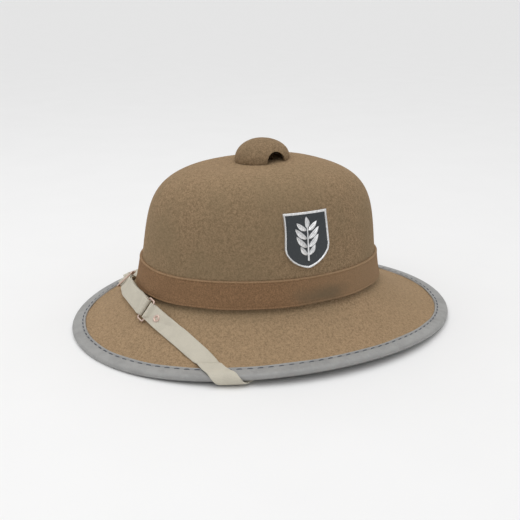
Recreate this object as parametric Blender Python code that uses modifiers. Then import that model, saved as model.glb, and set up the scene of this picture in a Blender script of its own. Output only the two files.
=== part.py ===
"""A pith helmet of pressed felt: a round crown and a sloping brim in one piece, a wound hat band,
a bound edge, a vent dome on top, a shield badge on the wearer's left, and a two-part chin strap
that runs from inside the crown, round the edge on both sides and over the front of the brim.

Lengths are in metres. The front is -Y, the wearer's left is +X and up is +Z. The helmet rests on
the front and the back of its edge, and its origin is under the middle of the brim."""

from math import copysign, cos, pi, radians, sin, sqrt

import bmesh
import bpy
import numpy as np
from mathutils import Matrix, Vector

# The brim, seen from above: an oval measured from the middle of the crown
BRIM_HALF_WIDTH = 0.1394
BRIM_FRONT_REACH = 0.1654
BRIM_BACK_REACH = 0.1706
BRIM_ROUNDNESS = 2.04
BRIM_DIP = 0.0054
RIM_SIDE_RISE = 0.0064
REST_ARC = 0.25

# The crown: an oval foot, a wall that leans in a little and a round shoulder
CROWN_HALF_WIDTH = 0.0862
CROWN_FRONT_REACH = 0.110
CROWN_BACK_REACH = 0.105
CROWN_ROUNDNESS = 2.06
CROWN_HEIGHT = 0.1057
CROWN_SHOULDER = 6.75
CROWN_SHOULDER_ROUND = 2.88
CROWN_FRONT_TAPER = 0.14
CROWN_BACK_TAPER = 0.10
CROWN_SIDE_TAPER = 0.12
CROWN_TOP_LEAN = 0.10
CROWN_TOP_LEAN_SPAN = 0.6
JOIN_HEIGHT = 0.0335
JOIN_BACK_DROP = 0.0038
JOIN_FLARE = 0.0041

# Felt, clearances and the bound edge
FELT = 0.0028
GAP = 0.0003
BINDING_THICKNESS = 0.0009
BINDING_WIDTH = 0.0100
REST_FLAT = 0.0005

# The hat band
BAND_FOOT = 0.0047
BAND_WIDTH = 0.0220
BAND_THICKNESS_FOOT = 0.0029
BAND_THICKNESS_TOP = 0.0017
BAND_ROUND = 0.0010

# The vent dome, its two arches and its post
VENT_RADIUS = 0.0232
VENT_HEIGHT = 0.0174
VENT_WALL = 0.0022
VENT_LIP = 0.0015
VENT_HOLE_RADIUS = 0.009
VENT_ARCH_RADIUS = 0.0088
VENT_TURN = radians(8)
VENT_SIDES = 28
POST_RADIUS = 0.0035
POST_CLEAR = 0.0005
POST_BAR = (0.030, 0.008, 0.0015)

# The badge, on the wearer's left
BADGE_WIDTH = 0.0396
BADGE_HEIGHT = 0.0434
BADGE_THICKNESS = 0.0012
BADGE_RIM = 0.0021
BADGE_RELIEF = 0.0008
BADGE_LEVEL = 0.526
BADGE_BACKWARD = 0.0014
BADGE_TURN = radians(0.5)
BADGE_EASE = 0.0001

# The chin strap and its fittings
STRAP_WIDTH = 0.0152
STRAP_THICKNESS = 0.0012
STRAP_CLEAR = 0.0005
STRAP_EDGE_EASE = 0.0009
STRAP_INNER_EASE = 0.0005
STRAP_END_RISE = 0.036
STRAP_STEP_LENGTH = 0.0025
STRAP_RAMP_LENGTH = 0.003
FOLD_CLEAR = 0.0007
LAYER_RAMP = 0.005
LAYER_STEP = 0.0065
RIM_STEP = 0.0022
PLAIN_STEP = 0.009
RIM_MARGIN = 0.010
JOIN_INSIDE = (0.046, 0.076)
BRIDGE_BRIM = 0.0105
BRIDGE_WALL = 0.0098
WIRE = 0.0016
RING_LENGTH = 0.0075
RING_AT = radians(-72)
KEEPER_AT = radians(-123)
KEEPER_BAR_STEP = 0.0062
KEEPER_LIFT = 0.0013
SLIDE_SIDE_CLEAR = 0.0009
RIVET_RADIUS = 0.0031
RIVET_SHANK = 0.0019
RIVET_HEAD = 0.0006
RIVET_FROM_FOLD = 0.0105
RIVET_FLAT = 0.004
FOLD_TAIL = 0.0165

# How finely the round forms are divided
SIDES = 44
STRAP_COLUMNS = 5

# Rows of the brim, as shares of its width from the crown to the rim
BRIM_SHARES = (1.0, 0.84, 0.66, 0.47, 0.27, 0.1, 0.0)

# Rows where the brim turns up into the wall, as shares of the flare: outward, upward
FLARE_ROWS = ((0.36, 0.38), (0.0, 1.25))

# Rows of the crown, as shares of its height
CROWN_LEVELS = (0.25, 0.48, 0.64, 0.75, 0.83, 0.89, 0.935, 0.965, 0.985, 0.996)

# The middle of the strap, from the front to the wearer's ear. Columns: the turn from the front in
# degrees, the side of the brim, and the share of that side (on top from the crown's foot outward,
# below from the rim inward, on the wall upward), with 0.5 of the edge at its outermost line
COURSE_ROWS = (
    (0.0, "top", 0.995),
    (10.0, "top", 0.97),
    (20.0, "top", 0.908),
    (31.0, "top", 0.795),
    (40.0, "top", 0.652),
    (47.0, "top", 0.487),
    (52.0, "top", 0.325),
    (56.5, "top", 0.1),
    (60.0, "edge", 0.5),
    (66.0, "under", 0.25),
    (74.0, "under", 0.5),
    (84.0, "under", 0.78),
    (93.0, "under", 0.96),
    (98.0, "wall", 0.2),
    (100.0, "wall", 0.58),
    (100.5, "wall", 1.0),
)

# The shield's outline from its top edge to its point. Columns: share of the height, share of the
# half width
SHIELD_ROWS = (
    (0.0, 0.975), (0.1, 0.955), (0.3, 0.965), (0.5, 0.99), (0.62, 1.0), (0.71, 0.96),
    (0.79, 0.84), (0.863, 0.69), (0.93, 0.47), (0.98, 0.22), (1.0, 0.06),
)

# Pairs of leaves on the badge's sprig. Columns: where the pair sits, its length and its width, as
# shares of the badge's height, and its lean in degrees
LEAF_ROWS = (
    (0.20, 0.24, 0.10, 52),
    (0.35, 0.30, 0.11, 48),
    (0.50, 0.30, 0.11, 44),
    (0.64, 0.22, 0.10, 38),
)

# The strap's bed inside the helmet: shares of its rise on the wall, its turn from the wall to the
# brim (upward, outward, as shares of the flare) and shares of the brim's width
WALL_SHARES = (1.35, 1.0, 0.7, 0.45, 0.25)
STRAP_TURN_UP = (0.3, 0.1)
UNDER_SHARES = (0.03, 0.12, 0.3, 0.5, 0.7)
ROLL_TURN = 15
TOP_PARTS = 8

# One leaf's outline. Columns: share of its length, share of its width to the side
LEAF_OUTLINE = ((0.0, 0.0), (0.3, 0.42), (0.65, 0.45), (1.0, 0.0), (0.65, -0.45), (0.3, -0.42))

# The sprig's stem and end leaf, as shares of the badge's height
STEM_HALF_WIDTH = 0.014
STEM_LOW_END = 0.36
PAIR_DROP = 0.12
END_LEAF_DROP = 0.08
END_LEAF_LENGTH = 0.2
END_LEAF_WIDTH = 0.11

EDGE_RADIUS = FELT / 2 + GAP + BINDING_THICKNESS
RIM_TOP_HEIGHT = FELT / 2 + EDGE_RADIUS - REST_FLAT
FULL_TURN = 2 * pi
STEP = 0.0005


def new_collection(name):
    """Add an empty collection to the scene."""
    collection = bpy.data.collections.new(name)
    bpy.context.scene.collection.children.link(collection)
    return collection


def finish_material(name, colour, roughness, metallic=0.0):
    """Make a plain Principled material."""
    material = bpy.data.materials.new(name)
    material.use_nodes = True
    shader = material.node_tree.nodes["Principled BSDF"]
    shader.inputs["Base Color"].default_value = (*colour, 1.0)
    shader.inputs["Roughness"].default_value = roughness
    shader.inputs["Metallic"].default_value = metallic
    return material


def loft(rows, ring=False, end_pole=None):
    """Join closed rows of points into a mesh. A ring also joins its last row to its first."""
    mesh = bpy.data.meshes.new("loft")
    form = bmesh.new()
    made = [[form.verts.new(point) for point in row] for row in rows]
    pairs = list(zip(made, made[1:]))
    if ring:
        pairs.append((made[-1], made[0]))
    count = len(made[0])
    for low, high in pairs:
        for index in range(count):
            after = (index + 1) % count
            form.faces.new((low[index], low[after], high[after], high[index]))
    if end_pole is not None:
        tip = form.verts.new(end_pole)
        for index in range(count):
            form.faces.new((tip, made[-1][index], made[-1][(index + 1) % count]))
    form.to_mesh(mesh)
    form.free()
    return mesh


def face_outward(mesh):
    """Turn all faces of a closed mesh outward."""
    form = bmesh.new()
    form.from_mesh(mesh)
    bmesh.ops.recalc_face_normals(form, faces=form.faces)
    form.to_mesh(mesh)
    form.free()


def place(name, mesh, material, collection, smooth_angle=40):
    """Add one sub-part, shaded smooth except at its sharp edges."""
    mesh.name = name
    mesh.materials.clear()
    mesh.materials.append(material)
    mesh.shade_smooth()
    mesh.set_sharp_from_angle(angle=radians(smooth_angle))
    piece = bpy.data.objects.new(name, mesh)
    collection.objects.link(piece)
    return piece


def take_from_curve(curve_object):
    """Turn a bevelled curve into a welded mesh and remove the curve."""
    bpy.context.view_layer.update()
    evaluated = curve_object.evaluated_get(bpy.context.evaluated_depsgraph_get())
    mesh = bpy.data.meshes.new_from_object(evaluated)
    mesh.transform(curve_object.matrix_world)
    form = bmesh.new()
    form.from_mesh(mesh)
    bmesh.ops.remove_doubles(form, verts=form.verts, dist=0.00001)
    bmesh.ops.recalc_face_normals(form, faces=form.faces)
    form.to_mesh(mesh)
    form.free()
    bpy.data.objects.remove(curve_object)
    return mesh


def oval_point(angle, half_width, front_reach, back_reach, roundness):
    """A point on an oval whose front and back halves each have their own reach."""
    reach = front_reach if sin(angle) < 0 else back_reach
    power = 2 / roundness
    across = copysign(abs(cos(angle)) ** power, cos(angle)) * half_width
    along = copysign(abs(sin(angle)) ** power, sin(angle)) * reach
    return across, along


def rim_height(angle):
    """The height of the felt's upper edge: level at the front and back, arched at the sides."""
    sideways = max(0.0, (abs(cos(angle)) - REST_ARC) / (1 - REST_ARC))
    return RIM_TOP_HEIGHT + RIM_SIDE_RISE * sideways ** 2


def join_height(angle):
    """The height where the brim meets the crown."""
    return JOIN_HEIGHT - JOIN_BACK_DROP * max(sin(angle), 0.0) ** 2


def brim_point(angle, share):
    """A point on the brim's upper side, from the crown at 0 to the rim at 1."""
    rim_x, rim_y = oval_point(angle, BRIM_HALF_WIDTH, BRIM_FRONT_REACH, BRIM_BACK_REACH, BRIM_ROUNDNESS)
    join_x, join_y = oval_point(
        angle, CROWN_HALF_WIDTH + JOIN_FLARE, CROWN_FRONT_REACH + JOIN_FLARE,
        CROWN_BACK_REACH + JOIN_FLARE, CROWN_ROUNDNESS)
    height = join_height(angle) * (1 - share) + rim_height(angle) * share
    height -= BRIM_DIP * 4 * share * (1 - share)
    return Vector((join_x + (rim_x - join_x) * share, join_y + (rim_y - join_y) * share, height))


def brim_length(angle):
    """The width of the brim along its slope."""
    return (brim_point(angle, 1.0) - brim_point(angle, 0.0)).length


def brim_frame(angle, share):
    """The outward direction along the brim and the direction straight up from it."""
    small = 0.01
    outward = (brim_point(angle, share + small) - brim_point(angle, share - small)).normalized()
    around = (brim_point(angle + small, share) - brim_point(angle - small, share)).normalized()
    return outward, outward.cross(around).normalized()


def over_brim(angle, share, height):
    """A point over the brim's upper side, or under it where the height is negative."""
    return brim_point(angle, share) + brim_frame(angle, share)[1] * height


def crown_share(level, taper):
    """The share of the foot's size that the crown has at a level."""
    return (1 - level ** CROWN_SHOULDER) ** (1 / CROWN_SHOULDER_ROUND) * (1 - taper * level)


def crown_sizes(level, out=0.0):
    """The half width and the two reaches of the crown at a level."""
    return (CROWN_HALF_WIDTH * crown_share(level, CROWN_SIDE_TAPER) + out,
            CROWN_FRONT_REACH * crown_share(level, CROWN_FRONT_TAPER) + out,
            CROWN_BACK_REACH * crown_share(level, CROWN_BACK_TAPER) + out)


def top_lean(along, level):
    """How far the crown's top stands over its plain height: it falls a little to the front."""
    share = crown_share(level, CROWN_SIDE_TAPER)
    inside = max(0.0, 1 - (share / CROWN_TOP_LEAN_SPAN) ** 2)
    return CROWN_TOP_LEAN * along * inside ** 2


def crown_point(angle, level, out=0.0):
    """A point on the crown's outer side, or outside it by a distance."""
    across, along = oval_point(angle, *crown_sizes(level, out), CROWN_ROUNDNESS)
    foot = JOIN_HEIGHT + (join_height(angle) - JOIN_HEIGHT) * (1 - level)
    return Vector((across, along, foot + level * CROWN_HEIGHT + top_lean(along, level)))


def crown_top_height(across, along):
    """The height of the crown's outer side over a place near the middle of its top."""
    reach = CROWN_FRONT_REACH if along < 0 else CROWN_BACK_REACH
    share = ((abs(across) / CROWN_HALF_WIDTH) ** 2 + (abs(along) / reach) ** 2) ** 0.5
    share /= 1 - CROWN_SIDE_TAPER
    level = (1 - share ** CROWN_SHOULDER_ROUND) ** (1 / CROWN_SHOULDER)
    return JOIN_HEIGHT + level * CROWN_HEIGHT + top_lean(along, level)


def ring_angles(count=SIDES):
    """Equal steps round the helmet."""
    return [FULL_TURN * index / count for index in range(count)]


def make_shell(material, collection):
    """The crown and brim: one felt skin with a round vent hole at the top."""
    angles = ring_angles()
    rows = [[brim_point(angle, share) for angle in angles] for share in BRIM_SHARES]
    for outward, upward in FLARE_ROWS:
        level = upward * JOIN_FLARE / CROWN_HEIGHT
        rows.append([crown_point(angle, level, outward * JOIN_FLARE) for angle in angles])
    for level in CROWN_LEVELS:
        rows.append([crown_point(angle, level) for angle in angles])
    hole = []
    for angle in angles:
        across = VENT_HOLE_RADIUS * cos(angle)
        along = VENT_HOLE_RADIUS * sin(angle)
        hole.append(Vector((across, along, crown_top_height(across, along))))
    rows.append(hole)
    piece = place("shell", loft(rows), material, collection)
    wall = piece.modifiers.new("felt", "SOLIDIFY")
    wall.thickness = FELT
    wall.offset = -1.0
    wall.use_even_offset = True
    return piece


def binding_section(angle):
    """The bound edge cut across: a folded strip that holds the felt between its legs."""
    length = brim_length(angle)
    inner = 1 - BINDING_WIDTH / length
    middle = 1 - BINDING_WIDTH / length / 2
    outward, upward = brim_frame(angle, 1.0)
    edge = brim_point(angle, 1.0)
    centre = edge - upward * (FELT / 2) + outward * GAP
    outer_skin = GAP + BINDING_THICKNESS
    points = [over_brim(angle, inner, outer_skin), over_brim(angle, middle, outer_skin)]
    for turn in (90, 45, 0, -45, -90):
        reach = outward * cos(radians(turn)) + upward * sin(radians(turn))
        points.append(centre + reach * EDGE_RADIUS)
    points.append(over_brim(angle, middle, -FELT - outer_skin))
    points.append(over_brim(angle, inner, -FELT - outer_skin))
    points.append(over_brim(angle, inner, -FELT - GAP))
    points.append(over_brim(angle, middle, -FELT - GAP))
    points.append(edge - upward * (FELT + GAP) + outward * GAP)
    points.append(edge + upward * GAP + outward * GAP)
    points.append(over_brim(angle, middle, GAP))
    points.append(over_brim(angle, inner, GAP))
    for point in points:
        point.z = max(point.z, 0.0)
    return points


def make_binding(material, collection):
    """The bound edge, which carries the helmet on its front and back."""
    mesh = loft([binding_section(angle) for angle in ring_angles()], ring=True)
    face_outward(mesh)
    return place("edge_binding", mesh, material, collection)


def make_band(material, collection):
    """The hat band: thicker and rounded at its foot, thin at its upper edge."""
    foot = BAND_FOOT
    middle = BAND_FOOT + BAND_WIDTH / 2
    top = BAND_FOOT + BAND_WIDTH
    section = (
        (foot + BAND_ROUND / 2, GAP),
        (foot, GAP + BAND_THICKNESS_FOOT / 2),
        (foot + BAND_ROUND, GAP + BAND_THICKNESS_FOOT),
        (middle, GAP + (BAND_THICKNESS_FOOT + BAND_THICKNESS_TOP) / 2),
        (top - BAND_ROUND, GAP + BAND_THICKNESS_TOP),
        (top, GAP + BAND_THICKNESS_TOP / 2),
        (top - BAND_ROUND / 2, GAP),
        (middle, GAP),
    )
    rows = []
    for angle in ring_angles():
        rows.append([crown_point(angle, up / CROWN_HEIGHT, out) for up, out in section])
    mesh = loft(rows, ring=True)
    face_outward(mesh)
    return place("hat_band", mesh, material, collection)


def make_vent_dome(material, collection, guides):
    """The vent dome: a felt cap seated on the crown, open through two arches."""
    angles = ring_angles(VENT_SIDES)
    centre = crown_top_height(0.0, 0.0) + GAP
    rows = []
    for rise, lip in ((0, 0.0), (0, VENT_LIP), (16, VENT_LIP), (32, VENT_LIP), (48, VENT_LIP),
                      (64, VENT_LIP), (80, VENT_LIP)):
        row = []
        for angle in angles:
            across = VENT_RADIUS * cos(angle)
            along = VENT_RADIUS * sin(angle)
            foot = crown_top_height(across, along) + GAP
            lift = sin(radians(rise))
            shrink = cos(radians(rise))
            height = foot + lip + (centre - foot) * lift + (VENT_HEIGHT - VENT_LIP) * lift
            row.append(Vector((across * shrink, along * shrink, height)))
        rows.append(row)
    mesh = loft(rows, end_pole=Vector((0, 0, centre + VENT_HEIGHT)))
    dome = place("vent_dome", mesh, material, collection)
    wall = dome.modifiers.new("felt", "SOLIDIFY")
    wall.thickness = VENT_WALL
    wall.offset = -1.0
    bpy.ops.mesh.primitive_cylinder_add(vertices=20, radius=VENT_ARCH_RADIUS, depth=VENT_RADIUS * 3)
    cutter = bpy.context.object
    cutter.name = "vent_arches"
    cutter.rotation_euler = (0, pi / 2, VENT_TURN)
    cutter.location = (0, 0, centre)
    keep_as_guide(cutter, guides)
    arches = dome.modifiers.new("arches", "BOOLEAN")
    arches.object = cutter
    return dome


def keep_as_guide(guide, guides):
    """Move a cutter to its own collection and leave it out of the model."""
    for collection in list(guide.users_collection):
        collection.objects.unlink(guide)
    guides.objects.link(guide)
    guide.hide_render = True
    guide.display_type = "WIRE"


def make_vent_post(material, collection, guides):
    """The post that holds the dome: it stands on a bar under the crown and goes up through the hole."""
    bar_top = crown_top_height(POST_BAR[0] / 2, 0.0) - FELT - 2 * GAP
    bar_centre = bar_top - POST_BAR[2] / 2
    top = crown_top_height(0.0, 0.0) + VENT_HEIGHT - VENT_WALL - POST_CLEAR
    bpy.ops.mesh.primitive_cylinder_add(vertices=12, radius=POST_RADIUS, depth=top - bar_centre)
    post = bpy.context.object
    post.location = (0, 0, (top + bar_centre) / 2)
    move_to(post, collection)
    post.name = "vent_post"
    post.data.name = "vent_post"
    post.data.materials.append(material)
    bpy.ops.mesh.primitive_cube_add(size=1, location=(0, 0, bar_centre))
    bar = bpy.context.object
    bar.name = "vent_bar"
    bar.data.transform(Matrix.Diagonal((*POST_BAR, 1)))
    keep_as_guide(bar, guides)
    union = post.modifiers.new("bar", "BOOLEAN")
    union.operation = "UNION"
    union.object = bar
    return post


def move_to(piece, collection):
    """Put an object into one collection only."""
    for other in list(piece.users_collection):
        other.objects.unlink(piece)
    collection.objects.link(piece)


def badge_place(sideways, upward, height):
    """A point over the crown's left wall, in the badge's own directions."""
    turned_side = sideways * cos(BADGE_TURN) - upward * sin(BADGE_TURN)
    turned_up = sideways * sin(BADGE_TURN) + upward * cos(BADGE_TURN)

    def wall(side, up):
        level = BADGE_LEVEL + up / CROWN_HEIGHT
        width, front, back = crown_sizes(level)
        along = BADGE_BACKWARD + side
        reach = front if along < 0 else back
        inside = 1 - (abs(along) / reach) ** CROWN_ROUNDNESS
        return Vector((width * inside ** (1 / CROWN_ROUNDNESS), along, JOIN_HEIGHT + level * CROWN_HEIGHT))

    centre = wall(turned_side, turned_up)
    side_way = wall(turned_side + STEP, turned_up) - wall(turned_side - STEP, turned_up)
    up_way = wall(turned_side, turned_up + STEP) - wall(turned_side, turned_up - STEP)
    return centre + side_way.cross(up_way).normalized() * height


def shield_half_width(share):
    """The shield's half width at a share of its height below the top edge."""
    heights = [row[0] for row in SHIELD_ROWS]
    widths = [row[1] for row in SHIELD_ROWS]
    return BADGE_WIDTH / 2 * float(np.interp(share, heights, widths))


def make_badge(material, collection, guides):
    """The badge: a shield with a raised rim and a raised leaf sprig, bent to the crown."""
    back = GAP + BADGE_EASE
    face = back + BADGE_THICKNESS
    border = BADGE_RIM / (BADGE_WIDTH / 2)
    columns = (-1.0, -1 + border, -1 + 1.3 * border, -0.4, 0.0, 0.4, 1 - 1.3 * border, 1 - border, 1.0)
    shares = (0.0, 0.045, 0.06, 0.2, 0.35, 0.5, 0.62, 0.71, 0.79, 0.86, 0.92, 0.95, 0.98, 1.0)
    rows = []
    for share in shares:
        half = shield_half_width(share)
        upward = BADGE_HEIGHT * (0.5 - share)
        front_row = []
        back_row = []
        for column in columns:
            on_rim = abs(column) > 1 - 1.1 * border or share < 0.05 or share > 0.94
            height = face + (BADGE_RELIEF if on_rim else 0.0)
            front_row.append(badge_place(column * half, upward, height))
            back_row.append(badge_place(column * half, upward, back))
        rows.append(front_row + back_row[::-1])
    mesh = strip_loft(rows)
    badge = place("badge", mesh, material, collection, smooth_angle=30)
    leaves = make_leaves(face)
    sprig = bpy.data.objects.new("sprig", leaves)
    guides.objects.link(sprig)
    keep_as_guide(sprig, guides)
    union = badge.modifiers.new("sprig", "BOOLEAN")
    union.operation = "UNION"
    union.object = sprig
    return badge


def strip_loft(rows, split=False):
    """A closed flat band from rows that hold its upper points and then its lower points. Its faces
    are split the way that follows a fold across the band, if that is asked for."""
    mesh = bpy.data.meshes.new("strip")
    form = bmesh.new()
    made = [[form.verts.new(point) for point in row] for row in rows]
    count = len(made[0])
    for low, high in zip(made, made[1:]):
        for index in range(count):
            after = (index + 1) % count
            form.faces.new((low[index], low[after], high[after], high[index]))
    for row, flip in ((made[0], False), (made[-1], True)):
        for index in range(count // 2 - 1):
            corners = [row[index], row[index + 1], row[count - 2 - index], row[count - 1 - index]]
            form.faces.new(corners if flip else corners[::-1])
    if split:
        bmesh.ops.triangulate(form, faces=form.faces, quad_method="LONG_EDGE")
    bmesh.ops.recalc_face_normals(form, faces=form.faces)
    form.to_mesh(mesh)
    form.free()
    return mesh


def leaf_rows(root_side, root_up, length, width, lean, face):
    """Three rows of one leaf: sunk in the plate, at its face, and the raised middle."""
    rows = []
    for height, size in ((face - BADGE_THICKNESS / 2, 1.0), (face + BADGE_RELIEF / 2, 1.0),
                         (face + BADGE_RELIEF, 0.5)):
        row = []
        for along, across in LEAF_OUTLINE:
            forward = length * (0.5 + (along - 0.5) * size)
            sideways = width * across * size
            side = root_side + forward * sin(lean) + sideways * cos(lean)
            up = root_up + forward * cos(lean) - sideways * sin(lean)
            row.append(badge_place(side, up, height))
        rows.append(row)
    return rows


def make_leaves(face):
    """The sprig: pairs of leaves, an end leaf and a stem, as one mesh of closed forms."""
    forms = []
    tall = BADGE_HEIGHT
    stem_half = tall * STEM_HALF_WIDTH
    for share, length, width, lean in LEAF_ROWS:
        up = tall * (0.5 - share - PAIR_DROP)
        for hand in (-1, 1):
            forms.append(leaf_rows(hand * stem_half * 1.8, up, tall * length, tall * width,
                                   hand * radians(lean), face))
    top = tall * (0.5 - LEAF_ROWS[0][0])
    end_root = top - tall * END_LEAF_DROP
    forms.append(leaf_rows(0.0, end_root, tall * END_LEAF_LENGTH, tall * END_LEAF_WIDTH, 0.0, face))
    low = -tall * STEM_LOW_END
    forms.append(leaf_rows(0.0, low, end_root - stem_half - low, stem_half * 2.2, 0.0, face))
    mesh = bpy.data.meshes.new("sprig")
    form = bmesh.new()
    for rows in forms:
        made = [[form.verts.new(point) for point in row] for row in rows]
        for low_row, high_row in zip(made, made[1:]):
            for index in range(len(low_row)):
                after = (index + 1) % len(low_row)
                form.faces.new((low_row[index], low_row[after], high_row[after], high_row[index]))
        form.faces.new(made[0][::-1])
        form.faces.new(made[-1])
    bmesh.ops.recalc_face_normals(form, faces=form.faces)
    form.to_mesh(mesh)
    form.free()
    return mesh


def lay_profile(angle):
    """The skin under the strap at one angle, from the inner wall round the rim to the hat band,
    with its length along the section: 0 is the upper side's edge, and inward on top is positive."""
    length = brim_length(angle)
    bound = BINDING_WIDTH / length
    step = STRAP_STEP_LENGTH / length
    ramp = step + STRAP_RAMP_LENGTH / length
    skin = GAP + BINDING_THICKNESS
    wall_in = -FELT - STRAP_INNER_EASE
    inner = []
    for rise in WALL_SHARES:
        inner.append(crown_point(angle, rise * STRAP_END_RISE / CROWN_HEIGHT, wall_in))
    turn_rise, turn_out = STRAP_TURN_UP
    inner.append(crown_point(angle, turn_rise * JOIN_FLARE / CROWN_HEIGHT, wall_in + turn_out * JOIN_FLARE))
    for share in (*UNDER_SHARES, 1 - bound - ramp):
        inner.append(over_brim(angle, share, wall_in))
    for share in (1 - bound - step, 1 - bound / 2):
        inner.append(over_brim(angle, share, -FELT - skin - STRAP_EDGE_EASE))
    outward, upward = brim_frame(angle, 1.0)
    centre = brim_point(angle, 1.0) - upward * (FELT / 2) + outward * GAP
    arc = []
    for turn in range(-90, 91, ROLL_TURN):
        reach = outward * cos(radians(turn)) + upward * sin(radians(turn))
        arc.append(centre + reach * (EDGE_RADIUS + STRAP_EDGE_EASE))
    outer = []
    for share in (1 - bound / 2, 1 - bound - step):
        outer.append(over_brim(angle, share, skin + STRAP_EDGE_EASE / 2))
    stop = BRIDGE_BRIM / length
    start = 1 - bound - ramp
    for index in range(TOP_PARTS + 1):
        outer.append(over_brim(angle, start + (stop - start) * index / TOP_PARTS, 0.0))
    band_out = GAP + BAND_THICKNESS_FOOT
    for rise in (BRIDGE_WALL, BRIDGE_WALL + BAND_WIDTH / 4, BRIDGE_WALL + BAND_WIDTH / 2):
        outer.append(crown_point(angle, rise / CROWN_HEIGHT, band_out))
    points = inner + arc + outer
    marks = np.concatenate([[0.0], np.cumsum([(b - a).length for a, b in zip(points, points[1:])])])
    zero = marks[len(inner) + len(arc) - 1]
    return points, marks - zero


def strap_reach(angle, side, share):
    """The length along the section at a share of one side."""
    edge_arc = pi * EDGE_RADIUS
    length = brim_length(angle)
    if side == "top":
        return share * length
    if side == "edge":
        return -share * edge_arc
    if side == "under":
        return -edge_arc - share * (length - BINDING_THICKNESS)
    return -edge_arc - length - share * STRAP_END_RISE


def skin_point(angle, reach):
    """The skin under the strap, and the way straight out from it."""
    points, marks = lay_profile(angle)
    coordinates = np.array([tuple(point) for point in points])

    def at(mark):
        return Vector([float(np.interp(mark, marks, coordinates[:, axis])) for axis in range(3)])

    span = 0.0011
    along = (at(reach + span) - at(reach - span)).normalized()
    ahead = brim_point(angle + 0.01, 1.0)
    behind = brim_point(angle - 0.01, 1.0)
    around = (ahead - behind).normalized()
    return at(reach), around.cross(along).normalized()


def smooth_through(values, count):
    """Points on a smooth curve through a list of number pairs."""
    points = [2 * values[0] - values[1]] + list(values) + [2 * values[-1] - values[-2]]
    smooth = []
    for index in range(1, len(points) - 2):
        before, start, end, after = points[index - 1:index + 3]
        for part in range(count):
            t = part / count
            smooth.append(0.5 * (2 * start + (end - before) * t
                                 + (2 * before - 5 * start + 4 * end - after) * t ** 2
                                 + (3 * start - before - 3 * end + after) * t ** 3))
    smooth.append(values[-1])
    return np.array(smooth)


def make_course():
    """The strap's middle line, from the left ear over the front to the right ear."""
    half = []
    for turn, side, share in COURSE_ROWS:
        angle = radians(turn - 90)
        half.append(np.array((angle, strap_reach(angle, side, share))))
    mirrored = [np.array((-pi - angle, reach)) for angle, reach in half[1:]]
    line = smooth_through(half[::-1] + mirrored, 6)
    places = [skin_point(angle, reach) for angle, reach in line]
    marks = [0.0]
    for (before, _), (after, _) in zip(places, places[1:]):
        marks.append(marks[-1] + (after - before).length)
    sides = []
    for index, (angle, reach) in enumerate(line):
        after = places[min(index + 1, len(line) - 1)][0]
        before = places[max(index - 1, 0)][0]
        way = (after - before).normalized()
        sides.append(side_rates(angle, reach, way.cross(places[index][1])))
    return {"marks": np.array(marks), "angles": line[:, 0], "reaches": line[:, 1],
            "angle_rates": np.array([rates[0] for rates in sides]),
            "reach_rates": np.array([rates[1] for rates in sides]), "length": marks[-1]}


def side_rates(angle, reach, side):
    """How the angle and the reach change for each metre that a point moves sideways on the skin."""
    turn = 0.01
    span = 0.001
    around = (skin_point(angle + turn, reach)[0] - skin_point(angle - turn, reach)[0]) / (2 * turn)
    inward = (skin_point(angle, reach + span)[0] - skin_point(angle, reach - span)[0]) / (2 * span)
    metric = np.array(((around.dot(around), around.dot(inward)), (around.dot(inward), inward.dot(inward))))
    return np.linalg.solve(metric, np.array((side.dot(around), side.dot(inward))))


def strap_place(course, mark, sideways, height):
    """A point over the strap's course: along it, across it and away from the skin."""
    def at(name):
        return float(np.interp(mark, course["marks"], course[name]))

    angle = at("angles") + sideways * at("angle_rates")
    reach = at("reaches") + sideways * at("reach_rates")
    point, away = skin_point(angle, reach)
    return point + away * height


def course_mark_at(course, angle):
    """The length along the course at which its middle passes an angle."""
    order = np.argsort(course["angles"])
    front = [index for index in order if course["reaches"][index] > 0.02]
    return float(np.interp(angle, course["angles"][front], course["marks"][front]))


def densify(path, step):
    """Add points to a path so that no stretch is longer than a step."""
    dense = [path[0]]
    for start, end in zip(path, path[1:]):
        parts = max(1, int(np.ceil(np.hypot(end[0] - start[0], end[1] - start[1]) / step - 0.001)))
        for part in range(1, parts + 1):
            share = part / parts
            dense.append((start[0] + (end[0] - start[0]) * share, start[1] + (end[1] - start[1]) * share))
    return dense


def fold(mark, height, radius, toward):
    """Half a turn of the strap round a bar, from above it to below it."""
    turned = []
    for turn in (60, 30, 0, -30, -60):
        turned.append((mark + toward * radius * cos(radians(turn)), height + radius * sin(radians(turn))))
    return turned


def strap_mesh(course, path):
    """A strap of even thickness that follows a path of lengths and heights over its course."""
    rows = []
    half = STRAP_THICKNESS / 2
    for index, (mark, height) in enumerate(path):
        before = path[max(index - 1, 0)]
        after = path[min(index + 1, len(path) - 1)]
        first = np.array((mark - before[0], height - before[1]))
        second = np.array((after[0] - mark, after[1] - height))
        ways = [way / np.hypot(*way) for way in (first, second) if np.hypot(*way) > 0]
        way = sum(ways)
        way = way / np.hypot(*way)
        lean = float(np.dot(way, ways[0]))
        normal = np.array((-way[1], way[0])) * half / max(lean, 0.5)
        upper = []
        lower = []
        for column in range(STRAP_COLUMNS + 1):
            sideways = STRAP_WIDTH * (column / STRAP_COLUMNS - 0.5)
            upper.append(strap_place(course, mark + normal[0], sideways, height + normal[1]))
            lower.append(strap_place(course, mark - normal[0], sideways, height - normal[1]))
        rows.append(upper + lower[::-1])
    return strip_loft(rows, split=True)


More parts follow.
